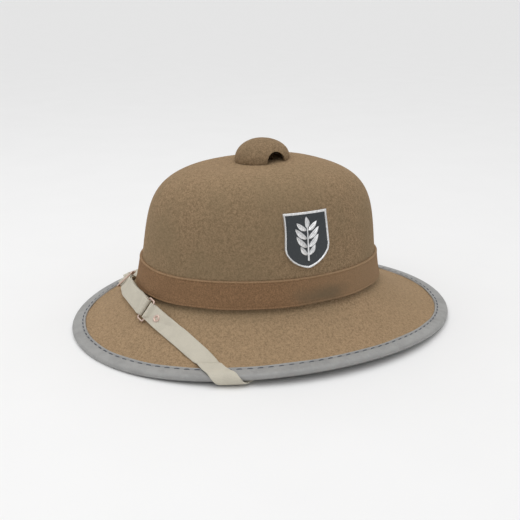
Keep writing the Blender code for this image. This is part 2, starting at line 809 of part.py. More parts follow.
def stretch_path(start, end, height, edges, course):
    """Marks along a plain stretch, close together where the strap turns round the rim or the join."""
    marks = [start]
    way = 1 if end > start else -1
    while abs(end - marks[-1]) > 1e-6:
        reach = float(np.interp(marks[-1], course["marks"], course["reaches"]))
        step = RIM_STEP if any(low < reach < high for low, high in edges) else PLAIN_STEP
        marks.append(marks[-1] + way * min(step, abs(end - marks[-1])))
    return [(mark, height) for mark in marks]


def make_straps(material, collection, guides, course):
    """Both halves of the strap: the left one is folded and riveted round the ring slide's near bar,
    the right one passes its keeper, turns round the far bar and comes back under itself. Returns
    the rivet's place and the height of the upper layer."""
    low = STRAP_CLEAR + STRAP_THICKNESS / 2
    upper = low + STRAP_THICKNESS + GAP
    fold_radius = WIRE / 2 + FOLD_CLEAR + STRAP_THICKNESS / 2
    bar_height = low + fold_radius
    ring = course_mark_at(course, RING_AT)
    near_bar = ring - RING_LENGTH / 2
    far_bar = ring + RING_LENGTH / 2
    keeper = course_mark_at(course, KEEPER_AT)
    edge_arc = pi * EDGE_RADIUS
    edges = ((-edge_arc - RIM_MARGIN, RIM_MARGIN), (-edge_arc - JOIN_INSIDE[1], -edge_arc - JOIN_INSIDE[0]))
    rivet_mark = near_bar - RIVET_FROM_FOLD
    tail_end = near_bar - FOLD_TAIL

    left = stretch_path(0.0, tail_end - GAP - LAYER_RAMP, low, edges, course)
    left += [(tail_end - GAP, upper), (rivet_mark - RIVET_FLAT, upper)]
    left += [(rivet_mark + RIVET_FLAT, upper), (near_bar, bar_height + fold_radius)]
    left += fold(near_bar, bar_height, fold_radius, 1)
    left += densify([(near_bar, low), (tail_end, low)], LAYER_STEP)
    strap_left = place("strap_left", strap_mesh(course, left), material, collection, smooth_angle=50)

    step = KEEPER_BAR_STEP
    over_bar = keeper_heights(bar_height, upper)[1] + fold_radius
    flat = WIRE * 3 / 4
    right = densify([(keeper - flat, low), (far_bar, low)], LAYER_STEP)
    right += fold(far_bar, bar_height, fold_radius, -1)[::-1]
    right += [(far_bar, bar_height + fold_radius)]
    right += densify([(far_bar + LAYER_RAMP * 1.6, upper), (keeper - step - flat, upper)], LAYER_STEP)
    right += [(keeper - step + flat, upper), (keeper - flat, over_bar), (keeper + flat, over_bar)]
    right += [(keeper + step - flat, low), (keeper + step + WIRE * 2, low)]
    right += stretch_path(keeper + step + WIRE * 4, course["length"], low, edges, course)
    place("strap_right", strap_mesh(course, right), material, collection, smooth_angle=50)

    frame = local_frame(course, rivet_mark, 0.0)
    bpy.ops.mesh.primitive_cylinder_add(vertices=16, radius=RIVET_SHANK + GAP, depth=STRAP_WIDTH)
    punch = bpy.context.object
    punch.name = "rivet_hole"
    punch.matrix_world = frame
    keep_as_guide(punch, guides)
    hole = strap_left.modifiers.new("rivet_hole", "BOOLEAN")
    hole.object = punch
    return frame, upper


def keeper_heights(bar_height, upper):
    """Heights of the keeper's three bars, from the ring slide's side to the rim's side."""
    first = upper + STRAP_THICKNESS / 2 + FOLD_CLEAR + WIRE / 2 + KEEPER_LIFT
    last = bar_height + KEEPER_LIFT
    return first, (first + last) / 2, last


def local_frame(course, mark, height):
    """A matrix at a place on the course: X along it, Z away from the skin."""
    origin = strap_place(course, mark, 0.0, height)
    along = strap_place(course, mark + 0.004, 0.0, height) - strap_place(course, mark - 0.004, 0.0, height)
    across = strap_place(course, mark, 0.008, height) - strap_place(course, mark, -0.008, height)
    along.normalize()
    away = along.cross(across).normalized()
    if away.dot(strap_place(course, mark, 0.0, height + 0.001) - origin) < 0:
        away = -away
    side = away.cross(along).normalized()
    return Matrix.Translation(origin) @ Matrix((along, side, away)).transposed().to_4x4()


def wire_loop(name, points, cyclic):
    """A round wire through points, as a welded mesh."""
    curve = bpy.data.curves.new(name, "CURVE")
    curve.dimensions = "3D"
    curve.bevel_depth = WIRE / 2
    curve.bevel_resolution = 1
    curve.use_fill_caps = True
    spline = curve.splines.new("POLY")
    spline.points.add(len(points) - 1)
    for target, point in zip(spline.points, points):
        target.co = (*point, 1)
    spline.use_cyclic_u = cyclic
    wire = bpy.data.objects.new(name, curve)
    bpy.context.scene.collection.objects.link(wire)
    return take_from_curve(wire)


def rounded_loop(half_length, half_width, corner, rise=0.0):
    """Points of a rectangle with rounded corners, tilted by a rise from end to end."""
    points = []
    for turn, way_x, way_y in ((0, 1, 1), (90, -1, 1), (180, -1, -1), (270, 1, -1)):
        for part in (0, 30, 60, 90):
            angle = radians(turn + part)
            x = way_x * (half_length - corner) + corner * cos(angle)
            y = way_y * (half_width - corner) + corner * sin(angle)
            points.append(Vector((x, y, rise * x / half_length)))
    return points


def make_slides(material, collection, guides, course):
    """The ring slide between the straps and the keeper that the right strap passes."""
    low = STRAP_CLEAR + STRAP_THICKNESS / 2
    upper = low + STRAP_THICKNESS + GAP
    fold_radius = WIRE / 2 + FOLD_CLEAR + STRAP_THICKNESS / 2
    bar_height = low + fold_radius
    half_width = STRAP_WIDTH / 2 + SLIDE_SIDE_CLEAR + WIRE / 2
    ring = course_mark_at(course, RING_AT)
    points = rounded_loop(RING_LENGTH / 2, half_width, WIRE)
    mesh = wire_loop("ring_slide", points, True)
    mesh.transform(local_frame(course, ring, bar_height))
    place("ring_slide", mesh, material, collection)

    keeper = course_mark_at(course, KEEPER_AT)
    first, middle, last = keeper_heights(bar_height, upper)
    rise = (last - first) / 2
    frame = local_frame(course, keeper, middle)
    loop = wire_loop("keeper_slide", rounded_loop(KEEPER_BAR_STEP, half_width, WIRE, rise), True)
    loop.transform(frame)
    piece = place("keeper_slide", loop, material, collection)
    bar = wire_loop("keeper_bar", [Vector((0, -half_width, 0)), Vector((0, half_width, 0))], False)
    bar.transform(frame)
    bar_guide = bpy.data.objects.new("keeper_bar", bar)
    guides.objects.link(bar_guide)
    keep_as_guide(bar_guide, guides)
    union = piece.modifiers.new("bar", "BOOLEAN")
    union.operation = "UNION"
    union.object = bar_guide


def make_rivet(material, collection, frame, upper):
    """The rivet through both layers of the left strap: a shank with one round head."""
    shank_low = STRAP_CLEAR
    head_low = upper + STRAP_THICKNESS / 2 + GAP
    profile = ((0.0, head_low + RIVET_HEAD), (RIVET_RADIUS * 0.55, head_low + RIVET_HEAD),
               (RIVET_RADIUS * 0.9, head_low + RIVET_HEAD * 0.8), (RIVET_RADIUS, head_low),
               (RIVET_SHANK, head_low), (RIVET_SHANK, shank_low), (0.0, shank_low))
    mesh = bpy.data.meshes.new("strap_rivet")
    mesh.from_pydata([(radius, 0, height) for radius, height in profile],
                     [(index, index + 1) for index in range(len(profile) - 1)], [])
    piece = place("strap_rivet", mesh, material, collection)
    screw = piece.modifiers.new("turn", "SCREW")
    screw.steps = 16
    screw.render_steps = 16
    screw.use_merge_vertices = True
    screw.merge_threshold = 0.00001
    screw.use_smooth_shade = True
    piece.matrix_world = frame


def main():
    """Build the whole helmet."""
    for old in list(bpy.data.objects):
        bpy.data.objects.remove(old)
    helmet = new_collection("pith_helmet")
    guides = new_collection("guides")
    felt = finish_material("felt", (0.235, 0.155, 0.085), 0.95)
    band_cloth = finish_material("band_cloth", (0.200, 0.115, 0.060), 0.95)
    leatherette = finish_material("leatherette", (0.300, 0.300, 0.310), 0.6)
    webbing = finish_material("webbing", (0.520, 0.470, 0.380), 0.9)
    copper = finish_material("copper", (0.700, 0.480, 0.380), 0.35, 1.0)
    silver = finish_material("silver", (0.550, 0.560, 0.570), 0.4, 1.0)

    make_shell(felt, helmet)
    make_binding(leatherette, helmet)
    make_band(band_cloth, helmet)
    make_vent_dome(felt, helmet, guides)
    make_vent_post(copper, helmet, guides)
    make_badge(silver, helmet, guides)
    course = make_course()
    frame, upper = make_straps(webbing, helmet, guides, course)
    make_slides(copper, helmet, guides, course)
    make_rivet(copper, helmet, frame, upper)

    middle = bpy.data.objects.new("helmet_middle", None)
    helmet.objects.link(middle)
    middle.location = (0, (BRIM_FRONT_REACH - BRIM_BACK_REACH) / 2, 0)
    for piece in list(helmet.objects) + list(guides.objects):
        if piece is not middle:
            piece.parent = middle
    bpy.context.view_layer.update()


main()
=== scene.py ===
"""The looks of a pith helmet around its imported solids: felt shell, bound edge with its stitches,
hat band, vent dome, badge, chin strap with its slides and rivet, and the stage.

Lengths are in metres. The front is -Y, the wearer's left is +X and up is +Z. The surfaces follow
the same formulas and sizes as the solids, with finer steps."""

from math import pi, radians
from types import SimpleNamespace

import bmesh
import bpy
import numpy as np
from bpy.props import FloatProperty, FloatVectorProperty, IntProperty, PointerProperty
from bpy.types import Operator, Panel, PropertyGroup
from mathutils import Matrix, Vector


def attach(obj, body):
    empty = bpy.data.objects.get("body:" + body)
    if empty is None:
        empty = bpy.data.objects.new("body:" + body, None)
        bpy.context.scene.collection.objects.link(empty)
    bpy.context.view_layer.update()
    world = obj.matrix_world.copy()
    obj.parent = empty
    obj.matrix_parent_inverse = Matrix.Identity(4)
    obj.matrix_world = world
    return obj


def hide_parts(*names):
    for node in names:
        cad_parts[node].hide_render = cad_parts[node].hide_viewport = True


bl_info = {
    "name": "Pith helmet",
    "version": (1, 0, 0),
    "blender": (4, 5, 0),
    "location": "View3D > Sidebar > Helmet",
    "description": "Builds the visible pieces of a felt pith helmet around its solids",
    "category": "Object",
}

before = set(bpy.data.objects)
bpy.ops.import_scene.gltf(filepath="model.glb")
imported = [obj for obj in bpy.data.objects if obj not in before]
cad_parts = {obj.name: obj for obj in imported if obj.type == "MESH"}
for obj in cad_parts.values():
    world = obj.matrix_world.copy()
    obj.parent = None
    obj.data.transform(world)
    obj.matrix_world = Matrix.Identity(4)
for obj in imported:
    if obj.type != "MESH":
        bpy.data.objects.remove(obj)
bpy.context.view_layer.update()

FULL_TURN = 2 * pi

# Pixels along a side of the photo, and millimetres along a side of the camera's sensor
PHOTO_SIDE = 520
SENSOR = 36.0

# The middle of the strap, from the front to the wearer's ear. Columns: the turn from the front in
# degrees, the side of the brim, and the share of that side: on top and below from the rim inward,
# round the edge from the top downward, and on the inner wall upward
COURSE_ROWS = (
    (0.0, "top", 0.995), (10.0, "top", 0.97), (20.0, "top", 0.908), (31.0, "top", 0.795),
    (40.0, "top", 0.652), (47.0, "top", 0.487), (52.0, "top", 0.325), (56.5, "top", 0.1),
    (60.0, "edge", 0.5), (66.0, "under", 0.25), (74.0, "under", 0.5), (84.0, "under", 0.78),
    (93.0, "under", 0.96), (98.0, "wall", 0.2), (100.0, "wall", 0.58), (100.5, "wall", 1.0),
)

# The shield's outline from its top edge to its point. Columns: share of the height, share of the
# half width
SHIELD_ROWS = (
    (0.0, 0.975), (0.1, 0.955), (0.3, 0.965), (0.5, 0.99), (0.62, 1.0), (0.71, 0.96),
    (0.79, 0.84), (0.863, 0.69), (0.93, 0.47), (0.98, 0.22), (1.0, 0.0),
)

# Pairs of leaves on the badge's sprig. Columns: where the pair sits, its length and its width, as
# shares of the badge's height, and its lean in degrees
LEAF_ROWS = (
    (0.20, 0.24, 0.10, 52), (0.35, 0.30, 0.11, 48), (0.50, 0.30, 0.11, 44), (0.64, 0.22, 0.10, 38),
)

# The light from the horizon to straight above. Columns: height on the sky, share of the strength
SKY_ROWS = ((0.0, 0.64), (0.14, 0.30), (1.0, 1.0))

# Places across one leg of the edge strip, as shares of its width from its inner edge
LEG_PLACES = (0.0, 0.02, 0.05, 0.09, 0.13, 0.17, 0.20, 0.225, 0.25, 0.275, 0.31, 0.36, 0.42,
              0.5, 0.6, 0.7, 0.8, 0.9)


def length(name, description, default):
    """A length that the user may change."""
    return FloatProperty(name=name, description=description, default=default, min=0.0, precision=4,
                         unit="LENGTH")


def number(name, description, default):
    """A plain number that the user may change."""
    return FloatProperty(name=name, description=description, default=default, precision=3)


def step_count(name, description, default, least):
    """A number of steps that the user may change."""
    return IntProperty(name=name, description=description, default=default, min=least)


def turn(name, description, default):
    """An angle that the user may change, given in degrees."""
    return FloatProperty(name=name, description=description, default=radians(default), subtype="ANGLE",
                         unit="ROTATION")


def colour(name, description, default):
    """A colour that the user may change."""
    return FloatVectorProperty(name=name, description=description, default=default, subtype="COLOR",
                               size=3, min=0.0, max=1.0)


class HelmetBrim(PropertyGroup):
    """The sloping brim, seen from above an oval round the middle of the crown."""
    half_width: length("Half width", "Middle to rim, sideways", 0.1394)
    front_reach: length("Front reach", "Middle to rim, forward", 0.1654)
    back_reach: length("Back reach", "Middle to rim, backward", 0.1706)
    roundness: number("Roundness", "2 is an ellipse, more is squarer", 2.04)
    dip: length("Dip", "How far the slope hangs under a straight line", 0.0054)
    side_rise: length("Side rise", "How much higher the rim is at the sides", 0.0064)
    rest_arc: number("Rest arc", "Share of the width over which the rim is level", 0.25)


class HelmetCrown(PropertyGroup):
    """The crown: an oval foot, a wall that leans in and a round shoulder."""
    half_width: length("Half width", "Middle to foot, sideways", 0.0862)
    front_reach: length("Front reach", "Middle to foot, forward", 0.110)
    back_reach: length("Back reach", "Middle to foot, backward", 0.105)
    roundness: number("Roundness", "2 is an ellipse, more is squarer", 2.06)
    height: length("Height", "Foot to top", 0.1057)
    shoulder: number("Shoulder", "More keeps the wall straight for longer", 6.75)
    shoulder_round: number("Shoulder round", "More makes the top flatter", 2.88)
    front_taper: number("Front taper", "How far the front wall leans in", 0.14)
    back_taper: number("Back taper", "How far the back wall leans in", 0.10)
    side_taper: number("Side taper", "How far the side walls lean in", 0.12)
    top_lean: number("Top lean", "Slope of the top from back to front", 0.10)
    top_lean_span: number("Top lean span", "Share of the crown that leans", 0.6)
    join_height: length("Join height", "Where the brim meets the crown", 0.0335)
    join_back_drop: length("Join back drop", "How much lower that is at the back", 0.0038)
    join_flare: length("Join flare", "Width of the turn from brim to wall", 0.0041)


class HelmetTrim(PropertyGroup):
    """Felt, bound edge and hat band."""
    felt: length("Felt", "Thickness of the felt", 0.0028)
    gap: length("Gap", "Clearance between pieces", 0.0003)
    binding_thickness: length("Binding thickness", "Thickness of the edge strip", 0.0009)
    binding_width: length("Binding width", "Width of the edge strip on top", 0.0100)
    rest_flat: length("Rest flat", "How much of the edge is pressed flat where it rests", 0.0005)
    stitch_pitch: length("Stitch pitch", "From one edge stitch to the next", 0.0082)
    stitch_length: length("Stitch length", "Visible length of an edge stitch", 0.0046)
    stitch_inset: length("Stitch inset", "Edge strip's inner edge to the stitches", 0.0026)
    band_foot: length("Band foot", "Crown's foot to the band's lower edge", 0.0047)
    band_width: length("Band width", "Width of the band", 0.0220)
    band_thickness_foot: length("Band thickness, foot", "Thickness at the lower edge", 0.0029)
    band_thickness_top: length("Band thickness, top", "Thickness at the upper edge", 0.0017)


class HelmetVent(PropertyGroup):
    """The vent dome on the crown."""
    radius: length("Radius", "Radius of the dome's foot", 0.0232)
    height: length("Height", "Height of the dome", 0.0174)
    wall: length("Wall", "Thickness of the dome's felt", 0.0022)
    lip: length("Lip", "Height of the upright foot", 0.0015)
    hole_radius: length("Hole radius", "Radius of the hole in the crown", 0.009)
    arch_radius: length("Arch radius", "Radius of the two arches", 0.0088)
    arch_turn: turn("Arch turn", "Turn of the arches about the upright axis", 8.0)


class HelmetBadge(PropertyGroup):
    """The shield on the wearer's left."""
    width: length("Width", "Width of the shield", 0.0396)
    height: length("Height", "Height of the shield", 0.0434)
    thickness: length("Thickness", "Thickness of the plate", 0.0012)
    rim: length("Rim", "Width of the raised rim", 0.0016)
    relief: length("Relief", "Height of the rim and sprig over the plate", 0.0008)
    level: number("Level", "Height of its middle as a share of the crown", 0.526)
    backward: length("Backward", "Its middle behind the crown's middle", 0.0014)
    lean: turn("Lean", "Its turn on the wall", 0.5)


class HelmetStrap(PropertyGroup):
    """The chin strap, its slides and its rivet."""
    width: length("Width", "Width of the webbing", 0.0152)
    thickness: length("Thickness", "Thickness of the webbing", 0.0012)
    clear: length("Clear", "Webbing to what it lies on", 0.0005)
    edge_ease: length("Edge ease", "Extra room round the rim", 0.0009)
    inner_ease: length("Inner ease", "Extra room under the brim", 0.0005)
    end_rise: length("End rise", "How high the ends reach on the inner wall", 0.036)
    step_length: length("Step length", "Flat stretch beyond the edge strip", 0.0025)
    ramp_length: length("Ramp length", "Stretch in which it comes down to the felt", 0.003)
    fold_clear: length("Fold clear", "Webbing to the wire that it folds round", 0.0007)
    layer_ramp: length("Layer ramp", "Stretch in which it changes layer", 0.005)
    bridge_brim: length("Bridge on the brim", "Where it leaves the brim for the band", 0.0105)
    bridge_wall: length("Bridge on the wall", "Where it meets the band", 0.0098)
    wire: length("Wire", "Thickness of the slides' wire", 0.0016)
    ring_length: length("Ring length", "Bar to bar of the ring slide", 0.0075)
    ring_at: turn("Ring at", "The ring slide's angle round the helmet", -72.0)
    keeper_at: turn("Keeper at", "The keeper's angle round the helmet", -123.0)
    keeper_bar_step: length("Keeper bar step", "Bar to bar of the keeper", 0.0062)
    keeper_lift: length("Keeper lift", "Height of the keeper over its seat", 0.0013)
    side_clear: length("Side clear", "Webbing to the slides' sides", 0.0009)
    rivet_radius: length("Rivet radius", "Radius of the rivet's head", 0.0031)
    rivet_hole: length("Rivet hole", "Radius of the hole in the rivet", 0.0012)
    rivet_head: length("Rivet head", "Height of the rivet's head", 0.0006)
    rivet_from_fold: length("Rivet from fold", "Rivet to the ring slide's bar", 0.0105)
    fold_tail: length("Fold tail", "Length of the folded end", 0.0165)


class HelmetColours(PropertyGroup):
    """The colours of the helmet's finishes."""
    felt: colour("Felt", "Tan felt", (0.276, 0.190, 0.112))
    felt_deep: colour("Felt, deep", "Darker fibres of the felt", (0.166, 0.112, 0.062))
    band: colour("Band", "Hat band cloth", (0.228, 0.133, 0.070))
    band_stain: colour("Band stain", "Old stain on the band", (0.135, 0.103, 0.064))
    binding: colour("Edge strip", "Grey leatherette", (0.325, 0.323, 0.315))
    webbing: colour("Webbing", "Pale webbing of the strap", (0.615, 0.575, 0.480))
    copper: colour("Copper", "Copper wash on the slides and the rivet", (0.780, 0.600, 0.520))
    silver: colour("Silver", "Bare metal of the badge", (0.920, 0.925, 0.930))
    enamel: colour("Enamel", "Dark field of the badge", (0.030, 0.036, 0.040))
    thread: colour("Thread", "Edge stitches", (0.105, 0.112, 0.130))
    floor: colour("Floor", "Plain pale floor", (0.860, 0.860, 0.860))


class HelmetStage(PropertyGroup):
    """The camera and the light."""
    azimuth: turn("Azimuth", "Camera's angle from the front towards the wearer's left", 65.49)
    elevation: turn("Elevation", "Camera's angle over the horizon", 17.51)
    roll: turn("Roll", "Camera's turn about its own axis", 0.15)
    distance: length("Distance", "Camera to the point that it looks at", 0.697)
    look_height: length("Look height", "Height of the point that the camera looks at", 0.0616)
    scale: number("Scale", "Photo pixels for one millimetre at that point", 1.134)
    point_x: number("Point x", "Photo column of that point", 262.4)
    point_y: number("Point y", "Photo row of that point", 245.7)
    key: number("Key light", "Power of the light from above, in watts", 3.0)
    fill: number("Fill light", "Power of the light from the camera's side, in watts", 0.4)
    sky: number("Sky", "Strength of the light from straight above", 1.25)


class HelmetDetail(PropertyGroup):
    """How finely the pieces are divided."""
    sides: step_count("Sides", "Steps round the helmet", 264, 24)
    brim_rows: step_count("Brim rows", "Rows across the brim", 30, 4)
    crown_rows: step_count("Crown rows", "Rows up the crown", 64, 8)
    vent_sides: step_count("Vent sides", "Steps round the vent dome", 96, 16)
    strap_step: length("Strap step", "Step along the strap", 0.0009)
    strap_columns: step_count("Strap columns", "Steps across the strap", 20, 4)
    wire_sides: step_count("Wire sides", "Steps round the wires", 16, 6)


GROUPS = {
    "helmet_brim": HelmetBrim,
    "helmet_crown": HelmetCrown,
    "helmet_trim": HelmetTrim,
    "helmet_vent": HelmetVent,
    "helmet_badge": HelmetBadge,
    "helmet_strap": HelmetStrap,
    "helmet_colours": HelmetColours,
    "helmet_stage": HelmetStage,
    "helmet_detail": HelmetDetail,
}


def values_of(scene, group_name):
    """The values of one property group as plain numbers."""
    group = getattr(scene, group_name)
    values = {}
    for name in GROUPS[group_name].__annotations__:
        value = getattr(group, name)
        values[name] = value if isinstance(value, (int, float)) else tuple(value)
    return SimpleNamespace(**values)


def unit(vectors):
    """Vectors of length one."""
    return vectors / np.maximum(np.linalg.norm(vectors, axis=-1, keepdims=True), 1e-12)


def stack(across, along, height):
    """Points from three arrays of coordinates."""
    return np.stack(np.broadcast_arrays(across, along, height), axis=-1)


def smooth_step(values, start, end):
    """From 0 at the start to 1 at the end, smoothly."""
    share = np.clip((values - start) / (end - start), 0.0, 1.0)
    return share * share * (3 - 2 * share)


def bump(values, middle, width):
    """A soft bump: 1 at its middle, and less and less on both sides."""
    return np.exp(-((values - middle) / width) ** 2)


def soft_weights(count):
    """Weights for a soft moving mean of a number of values."""
    weights = np.hanning(count)
    return weights / weights.sum()


def lengths_along(points):
    """The length along a line, or along each of several lines, up to each of its points."""
    steps = np.linalg.norm(np.diff(points, axis=0), axis=-1)
    return np.concatenate([np.zeros((1, *steps.shape[1:])), np.cumsum(steps, axis=0)])


def evenly(points, step):
    """Points at even steps along a line, and their lengths along it."""
    marks = lengths_along(points)
    even = np.linspace(0, marks[-1], int(marks[-1] / step))
    return np.stack([np.interp(even, marks, column) for column in points.T], axis=-1), even


class HelmetForm:
    """The helmet's surfaces, worked out from the sizes in the panel."""

    def __init__(self, scene):
        self.brim = values_of(scene, "helmet_brim")
        self.crown = values_of(scene, "helmet_crown")
        self.trim = values_of(scene, "helmet_trim")
        self.edge_radius = self.trim.felt / 2 + self.trim.gap + self.trim.binding_thickness
        self.rim_top = self.trim.felt / 2 + self.edge_radius - self.trim.rest_flat
        self.shift = np.array((0.0, (self.brim.front_reach - self.brim.back_reach) / 2, 0.0))

    def oval(self, angle, half_width, front_reach, back_reach, roundness):
        """Points on an oval whose front and back halves each have their own reach."""
        power = 2 / roundness
        reach = np.where(np.sin(angle) < 0, front_reach, back_reach)
        across = np.sign(np.cos(angle)) * np.abs(np.cos(angle)) ** power * half_width
        along = np.sign(np.sin(angle)) * np.abs(np.sin(angle)) ** power * reach
        return across, along

    def rim_height(self, angle):
        """The height of the felt's upper edge: level at the front and back, arched at the sides."""
        arc = self.brim.rest_arc
        sideways = np.maximum(0.0, (np.abs(np.cos(angle)) - arc) / (1 - arc))
        return self.rim_top + self.brim.side_rise * sideways ** 2

    def join_height(self, angle):
        """The height where the brim meets the crown."""
        back = np.maximum(np.sin(angle), 0.0)
        return self.crown.join_height - self.crown.join_back_drop * back ** 2

    def brim_point(self, angle, share):
        """Points on the brim's upper side, from the crown at 0 to the rim at 1."""
        brim = self.brim
        crown = self.crown
        flare = crown.join_flare
        rim_x, rim_y = self.oval(angle, brim.half_width, brim.front_reach, brim.back_reach,
                                 brim.roundness)
        join_x, join_y = self.oval(angle, crown.half_width + flare, crown.front_reach + flare,
                                   crown.back_reach + flare, crown.roundness)
        height = self.join_height(angle) * (1 - share) + self.rim_height(angle) * share
        height = height - brim.dip * 4 * share * (1 - share)
        return stack(join_x + (rim_x - join_x) * share, join_y + (rim_y - join_y) * share, height)

    def brim_length(self, angle):
        """The width of the brim along its slope."""
        return np.linalg.norm(self.brim_point(angle, 1.0) - self.brim_point(angle, 0.0), axis=-1)

    def brim_ways(self, angle, share):
        """The outward direction along the brim and the direction straight up from it."""
        small = 0.01
        outward = unit(self.brim_point(angle, share + small) - self.brim_point(angle, share - small))
        around = unit(self.brim_point(angle + small, share) - self.brim_point(angle - small, share))
        return outward, unit(np.cross(outward, around))

    def over_brim(self, angle, share, height):
        """Points over the brim's upper side, or under it where the height is negative."""
        upward = self.brim_ways(angle, share)[1]
        return self.brim_point(angle, share) + upward * np.asarray(height)[..., None]

    def round_edge(self, angle, radius, turns):
        """Lines round the felt's edge, at turns in degrees above and below straight outward."""
        outward, upward = self.brim_ways(angle, 1.0)
        centre = self.brim_point(angle, 1.0) - upward * (self.trim.felt / 2) + outward * self.trim.gap
        lines = []
        for step in np.radians(turns):
            lines.append(centre + (outward * np.cos(step) + upward * np.sin(step)) * radius)
        return lines

    def crown_share(self, level, taper):
        """The share of the foot's size that the crown has at a level."""
        crown = self.crown
        bulk = np.maximum(1 - np.maximum(level, 0.0) ** crown.shoulder, 0.0)
        return bulk ** (1 / crown.shoulder_round) * (1 - taper * level)

    def crown_sizes(self, level, out=0.0):
        """The half width and the two reaches of the crown at a level."""
        crown = self.crown
        return (crown.half_width * self.crown_share(level, crown.side_taper) + out,
                crown.front_reach * self.crown_share(level, crown.front_taper) + out,
                crown.back_reach * self.crown_share(level, crown.back_taper) + out)

    def top_lean(self, along, level):
        """How far the crown's top stands over its plain height: it falls a little to the front."""
        share = self.crown_share(level, self.crown.side_taper)
        inside = np.maximum(0.0, 1 - (share / self.crown.top_lean_span) ** 2)
        return self.crown.top_lean * along * inside ** 2

    def crown_point(self, angle, level, out=0.0):
        """Points on the crown's outer side, or outside it by a distance."""
        across, along = self.oval(angle, *self.crown_sizes(level, out), self.crown.roundness)
        foot = self.crown.join_height + (self.join_height(angle) - self.crown.join_height) * (1 - level)
        return stack(across, along, foot + level * self.crown.height + self.top_lean(along, level))

    def crown_top_height(self, across, along):
        """The height of the crown's outer side over places near the middle of its top."""
        crown = self.crown
        reach = np.where(along < 0, crown.front_reach, crown.back_reach)
        share = np.hypot(across / crown.half_width, along / reach) / (1 - crown.side_taper)
        level = (1 - share ** crown.shoulder_round) ** (1 / crown.shoulder)
        return crown.join_height + level * crown.height + self.top_lean(along, level)

    def by_hand(self, points):
        """Slight unevenness of felt shaped by hand, the same for all pieces, and none at the edge."""
        across = points[..., 0]
        along = points[..., 1]
        height = points[..., 2]
        amount = 0.0005 * smooth_step(height, 0.008, 0.045)
        moved = stack(np.sin(37 * along + 24 * height + 0.7) + 0.4 * np.sin(71 * along - 40 * height),
                      np.sin(33 * across - 21 * height + 2.1) + 0.4 * np.sin(64 * across + 35 * height),
                      0.7 * np.sin(29 * across + 35 * along + 1.3))
        return points + moved * amount[..., None]

    def placed(self, points):
        """Points of a piece in their final place."""
        return self.by_hand(points) + self.shift


def grid_mesh(grid, close_rows=False, caps=False, uv=None):
    """A mesh from a grid of points, whose last column joins its first. With close_rows the last row
    joins the first too. The uv arrays give each row's and each column's place in metres, with one
    more for each closed way."""
    rows, columns = grid.shape[:2]
    index = np.arange(rows * columns).reshape(rows, columns)
    if close_rows:
        index = np.concatenate([index, index[:1]])
    index = np.concatenate([index, index[:, :1]], axis=1)
    corners = (index[:-1, :-1], index[:-1, 1:], index[1:, 1:], index[1:, :-1])
    faces = np.stack(corners, axis=-1).reshape(-1, 4).tolist()
    if caps:
        faces.append(index[0, :columns][::-1].tolist())
        faces.append(index[-1, :columns].tolist())
    mesh = bpy.data.meshes.new("grid")
    mesh.from_pydata(grid.reshape(-1, 3).tolist(), [], faces)
    if uv is not None:
        place = np.stack(np.meshgrid(*uv, indexing="ij"), axis=-1)
        parts = (place[:-1, :-1], place[:-1, 1:], place[1:, 1:], place[1:, :-1])
        loops = np.stack(parts, axis=-2).reshape(-1, 2)
        cap_loops = np.zeros((len(mesh.loops) - len(loops), 2))
        layer = mesh.uv_layers.new(name="surface")
        layer.data.foreach_set("uv", np.concatenate([loops, cap_loops]).ravel())
    mesh.validate()
    return mesh


def face_outward(mesh):
    """Turn all faces of a closed mesh outward."""
    form = bmesh.new()
    form.from_mesh(mesh)
    bmesh.ops.recalc_face_normals(form, faces=form.faces)
    form.to_mesh(mesh)
    form.free()


def add_object(name, data):
    """A new object in the scene."""
    made = bpy.data.objects.new(name, data)
    bpy.context.scene.collection.objects.link(made)
    return made


def add_piece(name, mesh, materials, nodes, sharp=50.0):
    """Add a visible piece that stands for solids, shaded smooth except at its sharp edges."""
    face_outward(mesh)
    mesh.name = name
    for material in materials:
        mesh.materials.append(material)
    mesh.shade_smooth()
    mesh.set_sharp_from_angle(angle=radians(sharp))
    piece = add_object(name, mesh)
    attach(piece, "root")
    if nodes:
        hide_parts(*nodes)
    return piece


def join_meshes(meshes):
    """One mesh from several."""
    form = bmesh.new()
    for mesh in meshes:
        form.from_mesh(mesh)
    joined = bpy.data.meshes.new("joined")
    form.to_mesh(joined)
    form.free()
    return joined


def tube_grid(points, radius, sides, closed=False, side_way=(0.0, 0.0, 1.0)):
    """Rings of points round a line, for a wire or a thread. The radius may change along the line."""
    if closed:
        along = unit(np.roll(points, -1, axis=0) - np.roll(points, 1, axis=0))
    else:
        along = unit(np.gradient(points, axis=0))
    first = unit(np.cross(along, side_way))
    second = np.cross(along, first)
    turns = (np.arange(sides) * FULL_TURN / sides)[None, :, None]
    size = np.broadcast_to(np.asarray(radius, dtype=float), (len(points),))[:, None, None]
    ring = first[:, None] * np.cos(turns) + second[:, None] * np.sin(turns)
    return points[:, None] + ring * size


def stitch_mesh(line, radius):
    """A stitch of thread along a line, thinner at its two ends."""
    share = np.linspace(-1, 1, len(line))
    return grid_mesh(tube_grid(line, radius * (1 - 0.85 * np.abs(share) ** 6), 6), caps=True)


